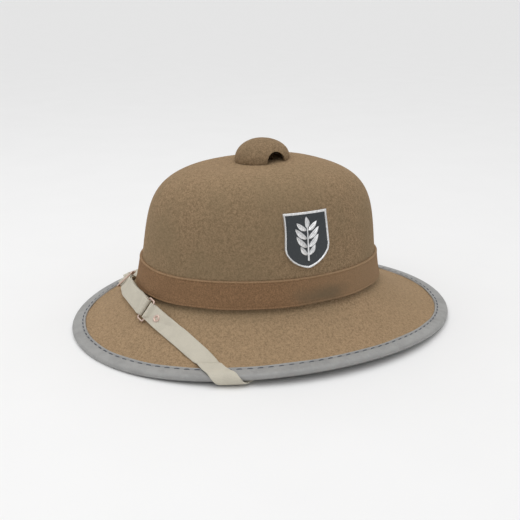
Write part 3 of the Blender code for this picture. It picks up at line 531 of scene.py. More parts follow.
class Finish:
    """A Principled material that is put together from procedural nodes."""

    def __init__(self, name, roughness, metallic=0.0, specular=0.5):
        self.material = bpy.data.materials.new(name)
        self.material.use_nodes = True
        self.nodes = self.material.node_tree.nodes
        self.links = self.material.node_tree.links
        self.shader = self.nodes["Principled BSDF"]
        self.shader.inputs["Roughness"].default_value = roughness
        self.shader.inputs["Metallic"].default_value = metallic
        self.shader.inputs["Specular IOR Level"].default_value = specular
        self.height = None

    def feed(self, target, value):
        """Set a socket to a value, or link it to another socket."""
        if isinstance(value, bpy.types.NodeSocket):
            self.links.new(value, target)
        elif isinstance(value, tuple):
            target.default_value = (*value, 1.0)
        else:
            target.default_value = value

    def place(self):
        """The place on the object, in metres."""
        return self.nodes.new("ShaderNodeTexCoord").outputs["Object"]

    def surface(self):
        """The place on the piece's own surface, in metres."""
        node = self.nodes.new("ShaderNodeUVMap")
        node.uv_map = "surface"
        return node.outputs["UV"]

    def parts(self, vector):
        """The three numbers of a vector."""
        node = self.nodes.new("ShaderNodeSeparateXYZ")
        self.feed(node.inputs[0], vector)
        return node.outputs

    def noise(self, vector, scale, detail, rough):
        """Soft noise with a number of features to the metre."""
        node = self.nodes.new("ShaderNodeTexNoise")
        self.feed(node.inputs["Vector"], vector)
        node.inputs["Scale"].default_value = scale
        node.inputs["Detail"].default_value = detail
        node.inputs["Roughness"].default_value = rough
        return node.outputs["Fac"]

    def cells(self, vector, scale):
        """Cracked cells, as in grained leatherette."""
        node = self.nodes.new("ShaderNodeTexVoronoi")
        node.feature = "SMOOTH_F1"
        self.feed(node.inputs["Vector"], vector)
        node.inputs["Scale"].default_value = scale
        return node.outputs["Distance"]

    def math(self, operation, first, second=0.0):
        """One sum with one or two numbers."""
        node = self.nodes.new("ShaderNodeMath")
        node.operation = operation
        self.feed(node.inputs[0], first)
        self.feed(node.inputs[1], second)
        return node.outputs[0]

    def spread(self, value, low, high, to_low=0.0, to_high=1.0):
        """A number moved from one range to another, and kept inside it."""
        node = self.nodes.new("ShaderNodeMapRange")
        for target, given in zip(node.inputs, (value, low, high, to_low, to_high)):
            self.feed(target, given)
        return node.outputs[0]

    def blend(self, share, first, second):
        """A colour between two."""
        node = self.nodes.new("ShaderNodeMix")
        node.data_type = "RGBA"
        self.feed(node.inputs["Factor"], share)
        self.feed(node.inputs[6], first)
        self.feed(node.inputs[7], second)
        return node.outputs[2]

    def paint(self, value):
        """Give the surface its colour."""
        self.feed(self.shader.inputs["Base Color"], value)

    def rough(self, value):
        """Give the surface its roughness."""
        self.feed(self.shader.inputs["Roughness"], value)

    def relief(self, value, depth):
        """Add fine relief of a depth in metres."""
        node = self.nodes.new("ShaderNodeBump")
        node.inputs["Strength"].default_value = 1.0
        node.inputs["Distance"].default_value = depth
        self.feed(node.inputs["Height"], value)
        if self.height is not None:
            self.links.new(self.height, node.inputs["Normal"])
        self.height = node.outputs["Normal"]
        self.links.new(self.height, self.shader.inputs["Normal"])

    def fuzz(self, amount, tint):
        """Give the surface a soft nap."""
        self.shader.inputs["Sheen Weight"].default_value = amount
        self.shader.inputs["Sheen Roughness"].default_value = 0.5
        self.shader.inputs["Sheen Tint"].default_value = (*tint, 1.0)


def lighter(shade, factor):
    """A colour made lighter or darker."""
    return tuple(min(1.0, part * factor) for part in shade)


def felt_finish(name, colours, tone):
    """Tan pressed felt with fine fibres and soft mottling, with painted light that makes the brim and
    the crown's top paler, as they face up. The tone makes it darker as a whole."""
    felt = Finish(name, 0.95, specular=0.15)
    place = felt.place()
    fibre = felt.noise(place, scale=950.0, detail=4.0, rough=0.75)
    tuft = felt.noise(place, scale=420.0, detail=3.0, rough=0.6)
    cloud = felt.noise(place, scale=34.0, detail=4.0, rough=0.6)
    patch = felt.noise(place, scale=9.0, detail=3.0, rough=0.5)
    grain = felt.math("ADD", felt.math("MULTIPLY", fibre, 0.65), felt.math("MULTIPLY", tuft, 0.35))
    mottle = felt.spread(grain, 0.40, 0.59)
    tan = lighter(colours.felt, tone)
    drab = (tan[0] * 0.76, tan[1] * 0.82, tan[2] * 0.80)
    body = felt.blend(mottle, lighter(colours.felt_deep, tone), lighter(tan, 1.22))
    body = felt.blend(felt.spread(cloud, 0.42, 0.70, 0.0, 0.32), body, drab)
    body = felt.blend(felt.spread(patch, 0.42, 0.60, 0.0, 0.45), body, drab)
    rise = felt.parts(place)[2]
    # Painted light: the brim and the crown's top, which face up to the light, are painted paler
    brim_painted_light = felt.spread(rise, 0.036, 0.028, 0.0, 0.62)
    top_painted_light = felt.spread(rise, 0.118, 0.142, 0.0, 0.3)
    painted_light_colour = felt.blend(mottle, lighter(tan, 1.02), lighter(tan, 1.72))
    felt.paint(felt.blend(felt.math("ADD", brim_painted_light, top_painted_light), body, painted_light_colour))
    felt.relief(tuft, 0.0006)
    felt.relief(fibre, 0.0003)
    felt.fuzz(0.25, lighter(colours.felt, 2.0))
    return felt.material


def band_finish(colours):
    """Browner cloth with a slight nap, paler towards the back, with a painted highlight along its
    rolled edges, and one old stain a little behind the middle on the left."""
    band = Finish("band_cloth", 0.95, specular=0.15)
    place = band.place()
    fibre = band.noise(place, scale=900.0, detail=4.0, rough=0.75)
    cloud = band.noise(place, scale=55.0, detail=4.0, rough=0.6)
    across, along, height = band.parts(place)
    body = band.blend(band.spread(fibre, 0.38, 0.62), lighter(colours.band, 0.72),
                      lighter(colours.band, 1.32))
    body = band.blend(band.spread(cloud, 0.4, 0.7, 0.0, 0.35), body, lighter(colours.band, 0.8))
    body = band.blend(band.spread(along, -0.03, 0.06, 0.0, 0.60), body, lighter(colours.felt, 1.05))
    aside = band.math("DIVIDE", band.math("SUBTRACT", along, 0.010), 0.028)
    above = band.math("DIVIDE", band.math("SUBTRACT", height, 0.044), 0.010)
    spot = band.math("SQRT", band.math("ADD", band.math("MULTIPLY", aside, aside),
                                       band.math("MULTIPLY", above, above)))
    edge = band.math("ADD", spot, band.math("MULTIPLY", cloud, 1.1))
    stain = band.math("MULTIPLY", band.spread(edge, 1.6, 0.7), band.spread(across, 0.03, 0.05))
    body = band.blend(band.math("MULTIPLY", stain, 0.75), body, colours.band_stain)
    # Painted highlight: a paler line along both rolled edges of the band, where they catch the light
    from_middle = band.math("ABSOLUTE", band.parts(band.surface())[0])
    painted_edge_highlight = band.math("MULTIPLY", band.spread(from_middle, 0.0101, 0.0109),
                    band.spread(fibre, 0.3, 0.7, 0.3, 0.8))
    band.paint(band.blend(painted_edge_highlight, body, lighter(colours.felt, 1.35)))
    band.relief(fibre, 0.00035)
    band.fuzz(0.2, lighter(colours.band, 2.0))
    return band.material


def binding_finish(colours):
    """Grey grained leatherette with darker patches and paler rubbed streaks."""
    strip = Finish("leatherette", 0.5, specular=0.4)
    place = strip.place()
    grain = strip.cells(place, 1100.0)
    cloud = strip.noise(place, scale=70.0, detail=4.0, rough=0.6)
    streak = strip.noise(place, scale=350.0, detail=3.0, rough=0.6)
    body = strip.blend(strip.spread(cloud, 0.38, 0.7), colours.binding, lighter(colours.binding, 0.82))
    body = strip.blend(strip.spread(streak, 0.55, 0.75, 0.0, 0.35), body, lighter(colours.binding, 1.3))
    strip.paint(body)
    strip.rough(strip.spread(cloud, 0.3, 0.7, 0.42, 0.62))
    strip.relief(grain, 0.00012)
    strip.relief(streak, 0.0002)
    return strip.material


def webbing_finish(colours):
    """Pale woven webbing, a fine check of lengthwise and crosswise threads, soiled a little."""
    web = Finish("webbing", 0.9, specular=0.2)
    along, across, _ = web.parts(web.surface())
    warp_pitch = 0.0011
    weft_pitch = 0.0009
    warp = web.math("SINE", web.math("MULTIPLY", across, FULL_TURN / warp_pitch))
    weft = web.math("SINE", web.math("MULTIPLY", along, FULL_TURN / weft_pitch))
    weave = web.math("MULTIPLY", warp, weft)
    place = web.place()
    fibre = web.noise(place, scale=1600.0, detail=3.0, rough=0.7)
    soil = web.noise(place, scale=60.0, detail=4.0, rough=0.6)
    body = web.blend(web.spread(weave, -1.0, 1.0), lighter(colours.webbing, 0.86),
                     lighter(colours.webbing, 1.1))
    body = web.blend(web.spread(fibre, 0.35, 0.7, 0.0, 0.4), body, lighter(colours.webbing, 1.2))
    body = web.blend(web.spread(soil, 0.45, 0.75, 0.0, 0.4), body, lighter(colours.webbing, 0.72))
    web.paint(body)
    web.relief(weave, 0.00012)
    web.relief(fibre, 0.00015)
    web.fuzz(0.15, lighter(colours.webbing, 1.5))
    return web.material


def metal_finish(name, shade, roughness):
    """Satin metal with slight wear."""
    metal = Finish(name, roughness, metallic=1.0)
    wear = metal.noise(metal.place(), scale=500.0, detail=4.0, rough=0.6)
    metal.paint(metal.blend(metal.spread(wear, 0.35, 0.7), shade, lighter(shade, 0.72)))
    metal.rough(metal.spread(wear, 0.3, 0.7, roughness - 0.08, roughness + 0.15))
    metal.relief(wear, 0.00006)
    return metal.material


def enamel_finish(colours):
    """Dark, slightly worn enamel."""
    field = Finish("enamel", 0.4, specular=0.45)
    wear = field.noise(field.place(), scale=700.0, detail=4.0, rough=0.65)
    field.paint(field.blend(field.spread(wear, 0.60, 0.95), colours.enamel, lighter(colours.silver, 0.20)))
    field.relief(wear, 0.00005)
    return field.material


def thread_finish(colours):
    """Dark waxed thread."""
    thread = Finish("thread", 0.8, specular=0.3)
    fibre = thread.noise(thread.place(), scale=2500.0, detail=2.0, rough=0.6)
    thread.paint(thread.blend(fibre, lighter(colours.thread, 0.7), lighter(colours.thread, 1.4)))
    thread.relief(fibre, 0.0001)
    return thread.material


def material_named(name, make, *details):
    """A material that is made once and then used again."""
    found = bpy.data.materials.get(name + "_finish")
    if found is None:
        found = make(*details)
        found.name = name + "_finish"
    return found


class BuildShell(Operator):
    """Build the felt crown and brim in one piece"""
    bl_idname = "helmet.shell"
    bl_label = "Felt shell"

    def execute(self, context):
        scene = context.scene
        form = HelmetForm(scene)
        detail = values_of(scene, "helmet_detail")
        vent = values_of(scene, "helmet_vent")
        colours = values_of(scene, "helmet_colours")
        angles = np.arange(detail.sides) * FULL_TURN / detail.sides
        rows = [form.brim_point(angles, share) for share in np.linspace(1.0, 0.0, detail.brim_rows)]
        flare = form.crown.join_flare
        flare_top = 1.25 * flare / form.crown.height
        flare_rows = 10
        wall_top = 0.62
        for part in np.linspace(0.0, 1.0, flare_rows)[1:]:
            rows.append(form.crown_point(angles, flare_top * part ** 1.3, (1 - part) ** 2 * flare))
        wall = np.linspace(flare_top, wall_top, detail.crown_rows // 4)[1:]
        low_turn = np.arcsin(wall_top ** (form.crown.shoulder / 2))
        hole_share = vent.hole_radius / form.crown.half_width / (1 - form.crown.side_taper)
        high_turn = np.arccos(hole_share ** (form.crown.shoulder_round / 2))
        arc = np.linspace(low_turn, high_turn, detail.crown_rows - detail.crown_rows // 4)[1:-1]
        for level in np.concatenate([wall, np.sin(arc) ** (2 / form.crown.shoulder)]):
            rows.append(form.crown_point(angles, level))
        hole_x = vent.hole_radius * np.cos(angles)
        hole_y = vent.hole_radius * np.sin(angles)
        rows.append(stack(hole_x, hole_y, form.crown_top_height(hole_x, hole_y)))
        outer = np.array(rows)
        around = np.roll(outer, -1, axis=1) - np.roll(outer, 1, axis=1)
        inward = np.gradient(outer, axis=0)
        inner = outer - unit(np.cross(around, inward)) * form.trim.felt
        grid = np.concatenate([outer, inner[::-1]])
        mesh = grid_mesh(form.placed(grid), close_rows=True)
        felt = material_named("felt", felt_finish, "felt", colours, 1.0)
        add_piece("shell_felt", mesh, [felt], ["shell"])
        return {"FINISHED"}


def rim_angles(form, count):
    """Angles at even steps along the rim, and the rim's whole length."""
    fine = np.linspace(0.0, FULL_TURN, 4001)
    marks = lengths_along(form.brim_point(fine, 1.0))
    return np.interp(np.arange(count) / count * marks[-1], marks, fine), marks[-1]


class BuildBinding(Operator):
    """Build the folded strip round the brim's edge and its stitches"""
    bl_idname = "helmet.binding"
    bl_label = "Bound edge"

    def execute(self, context):
        scene = context.scene
        form = HelmetForm(scene)
        trim = form.trim
        colours = values_of(scene, "helmet_colours")
        stitches = int(round(rim_angles(form, 1)[1] / trim.stitch_pitch))
        parts = 6
        angles = rim_angles(form, stitches * parts)[0]
        phase = np.arange(len(angles)) / parts
        span = form.brim_length(angles)
        skin = trim.gap + trim.binding_thickness
        under_skin = trim.gap * 0.2
        pull = np.cos(FULL_TURN * phase)
        drift = 0.0003 * np.sin(phase * 0.43) + 0.0002 * np.sin(phase * 1.13 + 1.0)
        hem_rise = 0.00035
        groove_depth = 0.00045
        groove_width = 0.0006
        swell_rise = 0.0002
        turned_down = {0.0: 0.0006, 0.02: 0.0001}

        def leg(side):
            """The outer skin of one leg, from its inner edge to the rim."""
            lines = []
            for place in LEG_PLACES:
                inset = place * trim.binding_width + drift * (1 - place)
                hem = hem_rise * bump(place, 0.10, 0.07)
                groove = groove_depth * bump(place * trim.binding_width, trim.stitch_inset, groove_width)
                swell = swell_rise * np.sin(pi * np.clip((place - 0.3) / 0.7, 0, 1)) * (1 - 0.35 * pull)
                height = skin + hem - groove * (1 + 0.4 * pull) + swell - turned_down.get(place, 0.0)
                share = 1 - (trim.binding_width - inset) / span
                lines.append(form.over_brim(angles, share, height if side > 0 else -trim.felt - height))
            return lines

        lines = leg(1) + form.round_edge(angles, form.edge_radius, np.linspace(90, -90, 19)) + leg(-1)[::-1]
        for places, height in (((0.0, 0.5, 0.97), -trim.felt - under_skin), ((0.97, 0.5, 0.0), under_skin)):
            for place in places:
                share = 1 - trim.binding_width * (1 - place) / span
                lines.append(form.over_brim(angles, share, height))
        grid = np.array(lines)
        grid[..., 2] = np.maximum(grid[..., 2], 0.0)
        mesh = grid_mesh(form.placed(grid), close_rows=True)
        strip = material_named("binding", binding_finish, colours)
        add_piece("edge_strip", mesh, [strip], ["edge_binding"])

        meshes = []
        fine_angles = np.concatenate([angles, angles[:1] + FULL_TURN])
        thread_radius = 0.00046
        half = trim.stitch_length / trim.stitch_pitch / 2
        part = np.linspace(-1, 1, 9)
        slant = part * 0.00018
        arch = 0.00030 * (1 - part ** 2) - 0.00032
        for side in (1, -1):
            height = skin + arch if side > 0 else -trim.felt - skin - arch
            for stitch in range(stitches):
                marks = (stitch + 0.5 + half * part) * parts
                at = np.interp(marks, np.arange(len(fine_angles)), fine_angles)
                share = 1 - (trim.binding_width - trim.stitch_inset + slant) / form.brim_length(at)
                line = form.placed(form.over_brim(at, share, height))
                meshes.append(stitch_mesh(line, thread_radius))
        thread = material_named("thread", thread_finish, colours)
        add_piece("edge_stitches", join_meshes(meshes), [thread], [])
        return {"FINISHED"}


class BuildBand(Operator):
    """Build the hat band with its turned edges"""
    bl_idname = "helmet.band"
    bl_label = "Hat band"

    def execute(self, context):
        scene = context.scene
        form = HelmetForm(scene)
        trim = form.trim
        detail = values_of(scene, "helmet_detail")
        colours = values_of(scene, "helmet_colours")
        angles = np.arange(detail.sides * 2) * FULL_TURN / (detail.sides * 2)
        wave = 0.00025 * np.sin(5 * angles + 0.6) + 0.00018 * np.sin(13 * angles)
        places = np.concatenate([[0.0, 0.006, 0.016, 0.03, 0.045, 0.06, 0.08, 0.10],
                                 np.linspace(0.13, 0.87, 14),
                                 [0.90, 0.92, 0.94, 0.955, 0.97, 0.984, 0.994, 1.0]])
        inner_places = (1.0, 0.75, 0.5, 0.25, 0.0)
        rough_circuit = 0.62

        def line_at(place, out):
            """A line round the crown at a share of the band's width, outside the felt by a distance."""
            rise = trim.band_foot + trim.band_width * place + wave * (1 - place)
            return form.crown_point(angles, rise / form.crown.height, out)

        lines = []
        for place in places:
            thick = trim.band_thickness_foot + (trim.band_thickness_top - trim.band_thickness_foot) * place
            edge = min(place, 1 - place)
            roll = (1 - max(0.0, 1 - edge / 0.045) ** 2.4) ** (1 / 2.4)
            bead = 0.00030 * bump(edge, 0.035, 0.022)
            seam = 0.00022 * bump(edge, 0.085, 0.014)
            sag = 0.0002 * np.sin(pi * place)
            lines.append(line_at(place, trim.gap + thick * (0.25 + 0.75 * roll) + bead - seam - sag))
        for place in inner_places:
            lines.append(line_at(place, trim.gap * 0.3))
        circuit = np.linspace(0.0, rough_circuit, len(angles) + 1)
        across = np.concatenate([(places - 0.5) * trim.band_width, np.zeros(len(inner_places) + 1)])
        mesh = grid_mesh(form.placed(np.array(lines)), close_rows=True, uv=(across, circuit))
        cloth = material_named("band", band_finish, colours)
        add_piece("band", mesh, [cloth], ["hat_band"])
        return {"FINISHED"}


def evaluated_mesh(piece):
    """The mesh of an object with its modifiers applied. The object itself is removed."""
    bpy.context.view_layer.update()
    graph = bpy.context.evaluated_depsgraph_get()
    mesh = bpy.data.meshes.new_from_object(piece.evaluated_get(graph))
    mesh.transform(piece.matrix_world)
    bpy.data.objects.remove(piece)
    return mesh


def mesh_points(mesh):
    """The places of a mesh's points."""
    points = np.zeros(len(mesh.vertices) * 3)
    mesh.vertices.foreach_get("co", points)
    return points.reshape(-1, 3)


def set_points(mesh, points):
    """Move a mesh's points."""
    mesh.vertices.foreach_set("co", points.ravel())
    mesh.update()


class BuildVent(Operator):
    """Build the vent dome with its two arches, and finish the post inside it"""
    bl_idname = "helmet.vent"
    bl_label = "Vent dome"

    def execute(self, context):
        scene = context.scene
        form = HelmetForm(scene)
        vent = values_of(scene, "helmet_vent")
        detail = values_of(scene, "helmet_detail")
        colours = values_of(scene, "helmet_colours")
        angles = np.arange(detail.vent_sides) * FULL_TURN / detail.vent_sides
        centre = form.crown_top_height(0.0, 0.0) + form.trim.gap

        def skin(radius, height, lip):
            """One side of the dome, from its foot to near its top."""
            lines = []
            for rise in (0.0, *np.linspace(0.0, 88.0, 30)):
                foot_lip = lip if lines else 0.0
                across = radius * np.cos(angles)
                along = radius * np.sin(angles)
                foot = form.crown_top_height(across, along) + form.trim.gap
                lift = np.sin(radians(rise))
                shrink = np.cos(radians(rise))
                top = foot + foot_lip + (centre - foot) * lift + (height - lip) * lift
                lines.append(stack(across * shrink, along * shrink, top))
            return lines

        outer = skin(vent.radius, vent.height, vent.lip)
        inner = skin(vent.radius - vent.wall, vent.height - vent.wall, vent.lip)
        mesh = grid_mesh(np.array(outer + inner[::-1]), close_rows=True)
        top_outer = len(outer) - 1
        form_mesh = bmesh.new()
        form_mesh.from_mesh(mesh)
        form_mesh.verts.ensure_lookup_table()
        count = detail.vent_sides
        bridge = set(form_mesh.verts[top_outer * count:(top_outer + 2) * count])
        tunnel = [face for face in form_mesh.faces if bridge.issuperset(face.verts)]
        bmesh.ops.delete(form_mesh, geom=tunnel, context="FACES_ONLY")
        for row, height in ((top_outer, vent.height), (top_outer + 1, vent.height - vent.wall)):
            form_mesh.verts.ensure_lookup_table()
            ring = form_mesh.verts[row * count:(row + 1) * count]
            tip = form_mesh.verts.new((0.0, 0.0, centre + height))
            for start, end in zip(ring, ring[1:] + ring[:1]):
                form_mesh.faces.new((start, end, tip))
        bmesh.ops.recalc_face_normals(form_mesh, faces=form_mesh.faces)
        form_mesh.to_mesh(mesh)
        form_mesh.free()
        dome = add_object("vent_cap", mesh)
        bpy.ops.mesh.primitive_cylinder_add(vertices=72, radius=vent.arch_radius, depth=vent.radius * 3)
        cutter = bpy.context.object
        cutter.rotation_euler = (0, pi / 2, vent.arch_turn)
        cutter.location = (0, 0, centre)
        arches = dome.modifiers.new("arches", "BOOLEAN")
        arches.operation = "DIFFERENCE"
        arches.solver = "EXACT"
        arches.object = cutter
        soften = dome.modifiers.new("soft_edges", "BEVEL")
        soften.width = 0.0005
        soften.segments = 3
        soften.limit_method = "ANGLE"
        soften.angle_limit = radians(50)
        mesh = evaluated_mesh(dome)
        bpy.data.objects.remove(cutter)
        set_points(mesh, form.placed(mesh_points(mesh)))
        felt = material_named("cap_felt", felt_finish, "cap_felt", colours, 0.80)
        add_piece("vent_cap", mesh, [felt], ["vent_dome"], sharp=60.0)
        copper = material_named("copper", metal_finish, "copper", colours.copper, 0.38)
        finish_node("vent_post", copper)
        return {"FINISHED"}


def finish_node(node, material):
    """Give a solid that stays in view its material."""
    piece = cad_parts[node]
    for slot in piece.material_slots:
        slot.material = material


class BadgeFace:
    """Places over the crown's left wall in the badge's own directions."""

    def __init__(self, form, badge):
        self.form = form
        self.badge = badge
        rows = np.array(SHIELD_ROWS)
        shares = np.linspace(0.0, 1.0, 240)
        widths = np.interp(shares, rows[:, 0], rows[:, 1])
        padded = np.concatenate([2 * widths[0] - widths[7:0:-1], widths, -widths[-2:-9:-1]])
        self.shares = shares
        self.widths = np.maximum(np.convolve(padded, soft_weights(15), mode="valid"), 0.0)
        self.widths[-1] = 0.0
        side = badge.width / 2 * self.widths
        up = badge.height * (0.5 - shares)
        outline = np.concatenate([np.stack([side, up], axis=-1), np.stack([-side, up], axis=-1)[::-1]])
        top = np.stack([np.linspace(-side[0], side[0], 60), np.full(60, up[0])], axis=-1)
        self.outline = np.concatenate([outline, top])

    def half_width(self, share):
        """The shield's half width at shares of its height below the top edge."""
        return self.badge.width / 2 * np.interp(share, self.shares, self.widths)

    def inset(self, sideways, upward):
        """The distance from places on the badge to its outline."""
        flat = np.stack([np.ravel(sideways), np.ravel(upward)], axis=-1)
        nearest = np.zeros(len(flat))
        block = 4000
        for start in range(0, len(flat), block):
            apart = flat[start:start + block, None] - self.outline[None]
            nearest[start:start + block] = np.sqrt((apart ** 2).sum(axis=-1)).min(axis=1)
        return nearest.reshape(np.shape(sideways))

    def wall(self, side, up):
        """Places on the crown's wall."""
        crown = self.form.crown
        level = self.badge.level + up / crown.height
        width, front, back = self.form.crown_sizes(level)
        along = self.badge.backward + side
        reach = np.where(along < 0, front, back)
        inside = 1 - (np.abs(along) / reach) ** crown.roundness
        height = crown.join_height + level * crown.height
        return stack(width * inside ** (1 / crown.roundness), along, height)

    def point(self, sideways, upward, height):
        """Places over the wall."""
        lean = self.badge.lean
        small = 0.0005
        side = sideways * np.cos(lean) - upward * np.sin(lean)
        up = sideways * np.sin(lean) + upward * np.cos(lean)
        side_way = self.wall(side + small, up) - self.wall(side - small, up)
        up_way = self.wall(side, up + small) - self.wall(side, up - small)
        away = unit(np.cross(side_way, up_way))
        return self.wall(side, up) + away * np.asarray(height)[..., None]


class BuildBadge(Operator):
    """Build the shield with its raised rim, dark field and raised leaf sprig"""
    bl_idname = "helmet.badge"
    bl_label = "Badge"

    def execute(self, context):
        scene = context.scene
        form = HelmetForm(scene)
        badge = values_of(scene, "helmet_badge")
        colours = values_of(scene, "helmet_colours")
        face = BadgeFace(form, badge)
        shares = np.concatenate([[0.0], np.linspace(0.0, 1.0, 130)[1:-1], [0.9985]])
        columns = np.sin(np.linspace(-pi / 2, pi / 2, 121))
        share_grid, column_grid = np.meshgrid(shares, columns, indexing="ij")
        sideways = column_grid * face.half_width(share_grid)
        upward = badge.height * (0.5 - share_grid)
        inset = face.inset(sideways, upward)
        back = form.trim.gap
        plate = back + badge.thickness
        crest = badge.rim / 2
        ring = np.clip(1 - ((inset - crest) / crest) ** 2, 0.0, 1.0) ** 0.6
        height = plate + badge.relief * ring
        height = height - 0.0005 * smooth_step(inset, 0.0004, 0.0)
        front = face.point(sideways, upward, height)
        rear = face.point(sideways, upward, np.full_like(height, back))
        grid = np.concatenate([front, rear[:, ::-1]], axis=1)
        mesh = grid_mesh(form.placed(grid), caps=True)
        silver = material_named("silver", metal_finish, "silver", colours.silver, 0.34)
        enamel = material_named("enamel", enamel_finish, colours)
        rows, columns_count = inset.shape
        inset_cells = (inset[:-1, :-1] + inset[1:, 1:]) / 2
        dark = np.zeros((rows - 1, columns_count * 2), dtype=int)
        dark[:, :columns_count - 1] = inset_cells > badge.rim
        flags = np.concatenate([dark.ravel(), np.zeros(len(mesh.polygons) - dark.size, dtype=int)])
        piece = add_piece("badge_plate", mesh, [silver, enamel], ["badge"], sharp=60.0)
        piece.data.polygons.foreach_set("material_index", flags)

        tall = badge.height
        stem_half = tall * 0.014
        meshes = []

        def leaf(root_side, root_up, long, wide, lean):
            """One leaf with a raised middle rib."""
            along = np.linspace(0.0, 1.0, 25)[:, None]
            across = np.linspace(-1.0, 1.0, 15)[None]
            half = wide * 0.47 * np.sin(pi * along ** 0.85) ** 0.75
            bend = 0.06 * long * np.sin(pi * along) * np.sign(lean + 1e-9)
            rib = 0.5 * bump(across, 0.0, 0.16)
            vein = 0.12 * np.cos(FULL_TURN * (along * 5 - np.abs(across) * 0.9))
            raise_up = badge.relief * (0.75 * (1 - across ** 2) ** 0.5 + rib + vein * (1 - across ** 2))
            forward = long * along + 0 * across
            shift = half * across + bend
            side = root_side + forward * np.sin(lean) + shift * np.cos(lean)
            up = root_up + forward * np.cos(lean) - shift * np.sin(lean)
            top = face.point(side, up, plate - 0.0002 + raise_up)
            low = face.point(side, up, np.full_like(side, plate - 0.0006))
            both = np.concatenate([top, low[:, ::-1]], axis=1)
            meshes.append(grid_mesh(form.placed(both), caps=True))

        for share, long, wide, lean in LEAF_ROWS:
            root = tall * (0.5 - share - 0.12)
            for hand in (-1, 1):
                leaf(hand * stem_half * 1.2, root, tall * long, tall * wide, hand * radians(lean))
        top = tall * (0.5 - LEAF_ROWS[0][0])
        leaf(0.0, top - tall * 0.08, tall * 0.2, tall * 0.11, 0.0)
        low = -tall * 0.36
        stem_up = np.linspace(low, top - tall * 0.07, 40)
        stem = face.point(np.zeros(40), stem_up, np.full(40, plate + badge.relief * 0.3))
        taper = np.linspace(stem_half * 1.5, stem_half * 0.8, 40)
        meshes.append(grid_mesh(tube_grid(form.placed(stem), taper, 10), caps=True))
        add_piece("badge_sprig", join_meshes(meshes), [silver], [], sharp=60.0)
        return {"FINISHED"}


class StrapBed:
    """The skin that the strap lies on, unrolled: round the helmet by the angle, and across the brim
    by a reach, which is 0 at the upper side's edge, positive inward on top and negative below."""

    def __init__(self, form, strap):
        self.form = form
        self.strap = strap
        past_ear = 0.6
        lowest = -0.118
        highest = 0.066
        reach_step = 0.0003
        self.angles = np.linspace(-pi - past_ear, past_ear, 620)
        self.reaches = np.arange(lowest, highest, reach_step)
        lines = self.section(self.angles)
        marks = lengths_along(lines)
        marks = marks - marks[self.zero_row]
        self.points = np.zeros((len(self.angles), len(self.reaches), 3))
        for index in range(len(self.angles)):
            for axis in range(3):
                line = lines[:, index, axis]
                self.points[index, :, axis] = np.interp(self.reaches, marks[:, index], line)
        weights = soft_weights(11)
        inside = len(self.reaches) - len(weights) + 1
        self.points[:, 5:-5] = sum(weight * self.points[:, start:start + inside]
                                   for start, weight in enumerate(weights))
        rim = form.brim_point(self.angles + 0.01, 1.0) - form.brim_point(self.angles - 0.01, 1.0)
        along = unit(np.gradient(self.points, axis=1))
        self.away = unit(np.cross(unit(rim)[:, None], along))

    def section(self, angle):
        """The skin's cut at each angle, from the inner wall round the rim to the hat band."""
        form = self.form
        strap = self.strap
        trim = form.trim
        crown = form.crown
        span = form.brim_length(angle)
        bound = trim.binding_width / span
        step = strap.step_length / span
        ramp = step + strap.ramp_length / span
        skin = trim.gap + trim.binding_thickness
        wall_in = -trim.felt - strap.inner_ease
        lines = []
        for rise in np.linspace(1.35, 0.25, 23):
            lines.append(form.crown_point(angle, rise * strap.end_rise / crown.height, wall_in))
        lines.append(form.crown_point(angle, 0.3 * crown.join_flare / crown.height,
                                      wall_in + crown.join_flare * 0.1))
        last = 1 - bound - ramp
        for part in np.linspace(0.0, 1.0, 18):
            lines.append(form.over_brim(angle, 0.03 + (last - 0.03) * part, wall_in))
        under = -trim.felt - skin - strap.edge_ease
        lines.append(form.over_brim(angle, 1 - bound - step, under))
        lines.append(form.over_brim(angle, 1 - bound / 2, under))
        lines += form.round_edge(angle, form.edge_radius + strap.edge_ease, np.linspace(-90, 90, 25))
        self.zero_row = len(lines) - 1
        above = skin + strap.edge_ease / 2
        lines.append(form.over_brim(angle, 1 - bound / 2, above))
        lines.append(form.over_brim(angle, 1 - bound - step, above))
        stop = strap.bridge_brim / span
        for part in np.linspace(0.0, 1.0, 22):
            lines.append(form.over_brim(angle, last + (stop - last) * part, 0.0))
        band_out = trim.gap + trim.band_thickness_foot
        for rise in np.linspace(strap.bridge_wall, strap.bridge_wall + trim.band_width / 2, 4):
            lines.append(form.crown_point(angle, rise / crown.height, band_out))
        return np.array(lines)

    def at(self, angle, reach):
        """Places on the skin and the ways straight out from it."""
        across = np.interp(angle, self.angles, np.arange(len(self.angles)))
        along = np.interp(reach, self.reaches, np.arange(len(self.reaches)))
        row = np.minimum(across.astype(int), len(self.angles) - 2)
        column = np.minimum(along.astype(int), len(self.reaches) - 2)
        part_row = (across - row)[..., None]
        part_column = (along - column)[..., None]
        found = []
        for table in (self.points, self.away):
            low = table[row, column] * (1 - part_column) + table[row, column + 1] * part_column
            high = table[row + 1, column] * (1 - part_column) + table[row + 1, column + 1] * part_column
            found.append(low * (1 - part_row) + high * part_row)
        return found[0], unit(found[1])

    def ways(self, angle, reach):
        """How a place on the skin moves with the angle and with the reach."""
        small = 0.01
        near = 0.001
        around = self.at(angle + small, reach)[0] - self.at(angle - small, reach)[0]
        inward = self.at(angle, reach + near)[0] - self.at(angle, reach - near)[0]
        return np.stack([around / (2 * small), inward / (2 * near)], axis=-2)

    def reach_of(self, angle, side, share):
        """The reach at a share of one side of the brim."""
        edge_arc = pi * self.form.edge_radius
        span = float(self.form.brim_length(np.array(angle)))
        if side == "top":
            return share * span
        if side == "edge":
            return -share * edge_arc
        if side == "under":
            return -edge_arc - share * (span - self.form.trim.binding_thickness)
        return -edge_arc - span - share * self.strap.end_rise


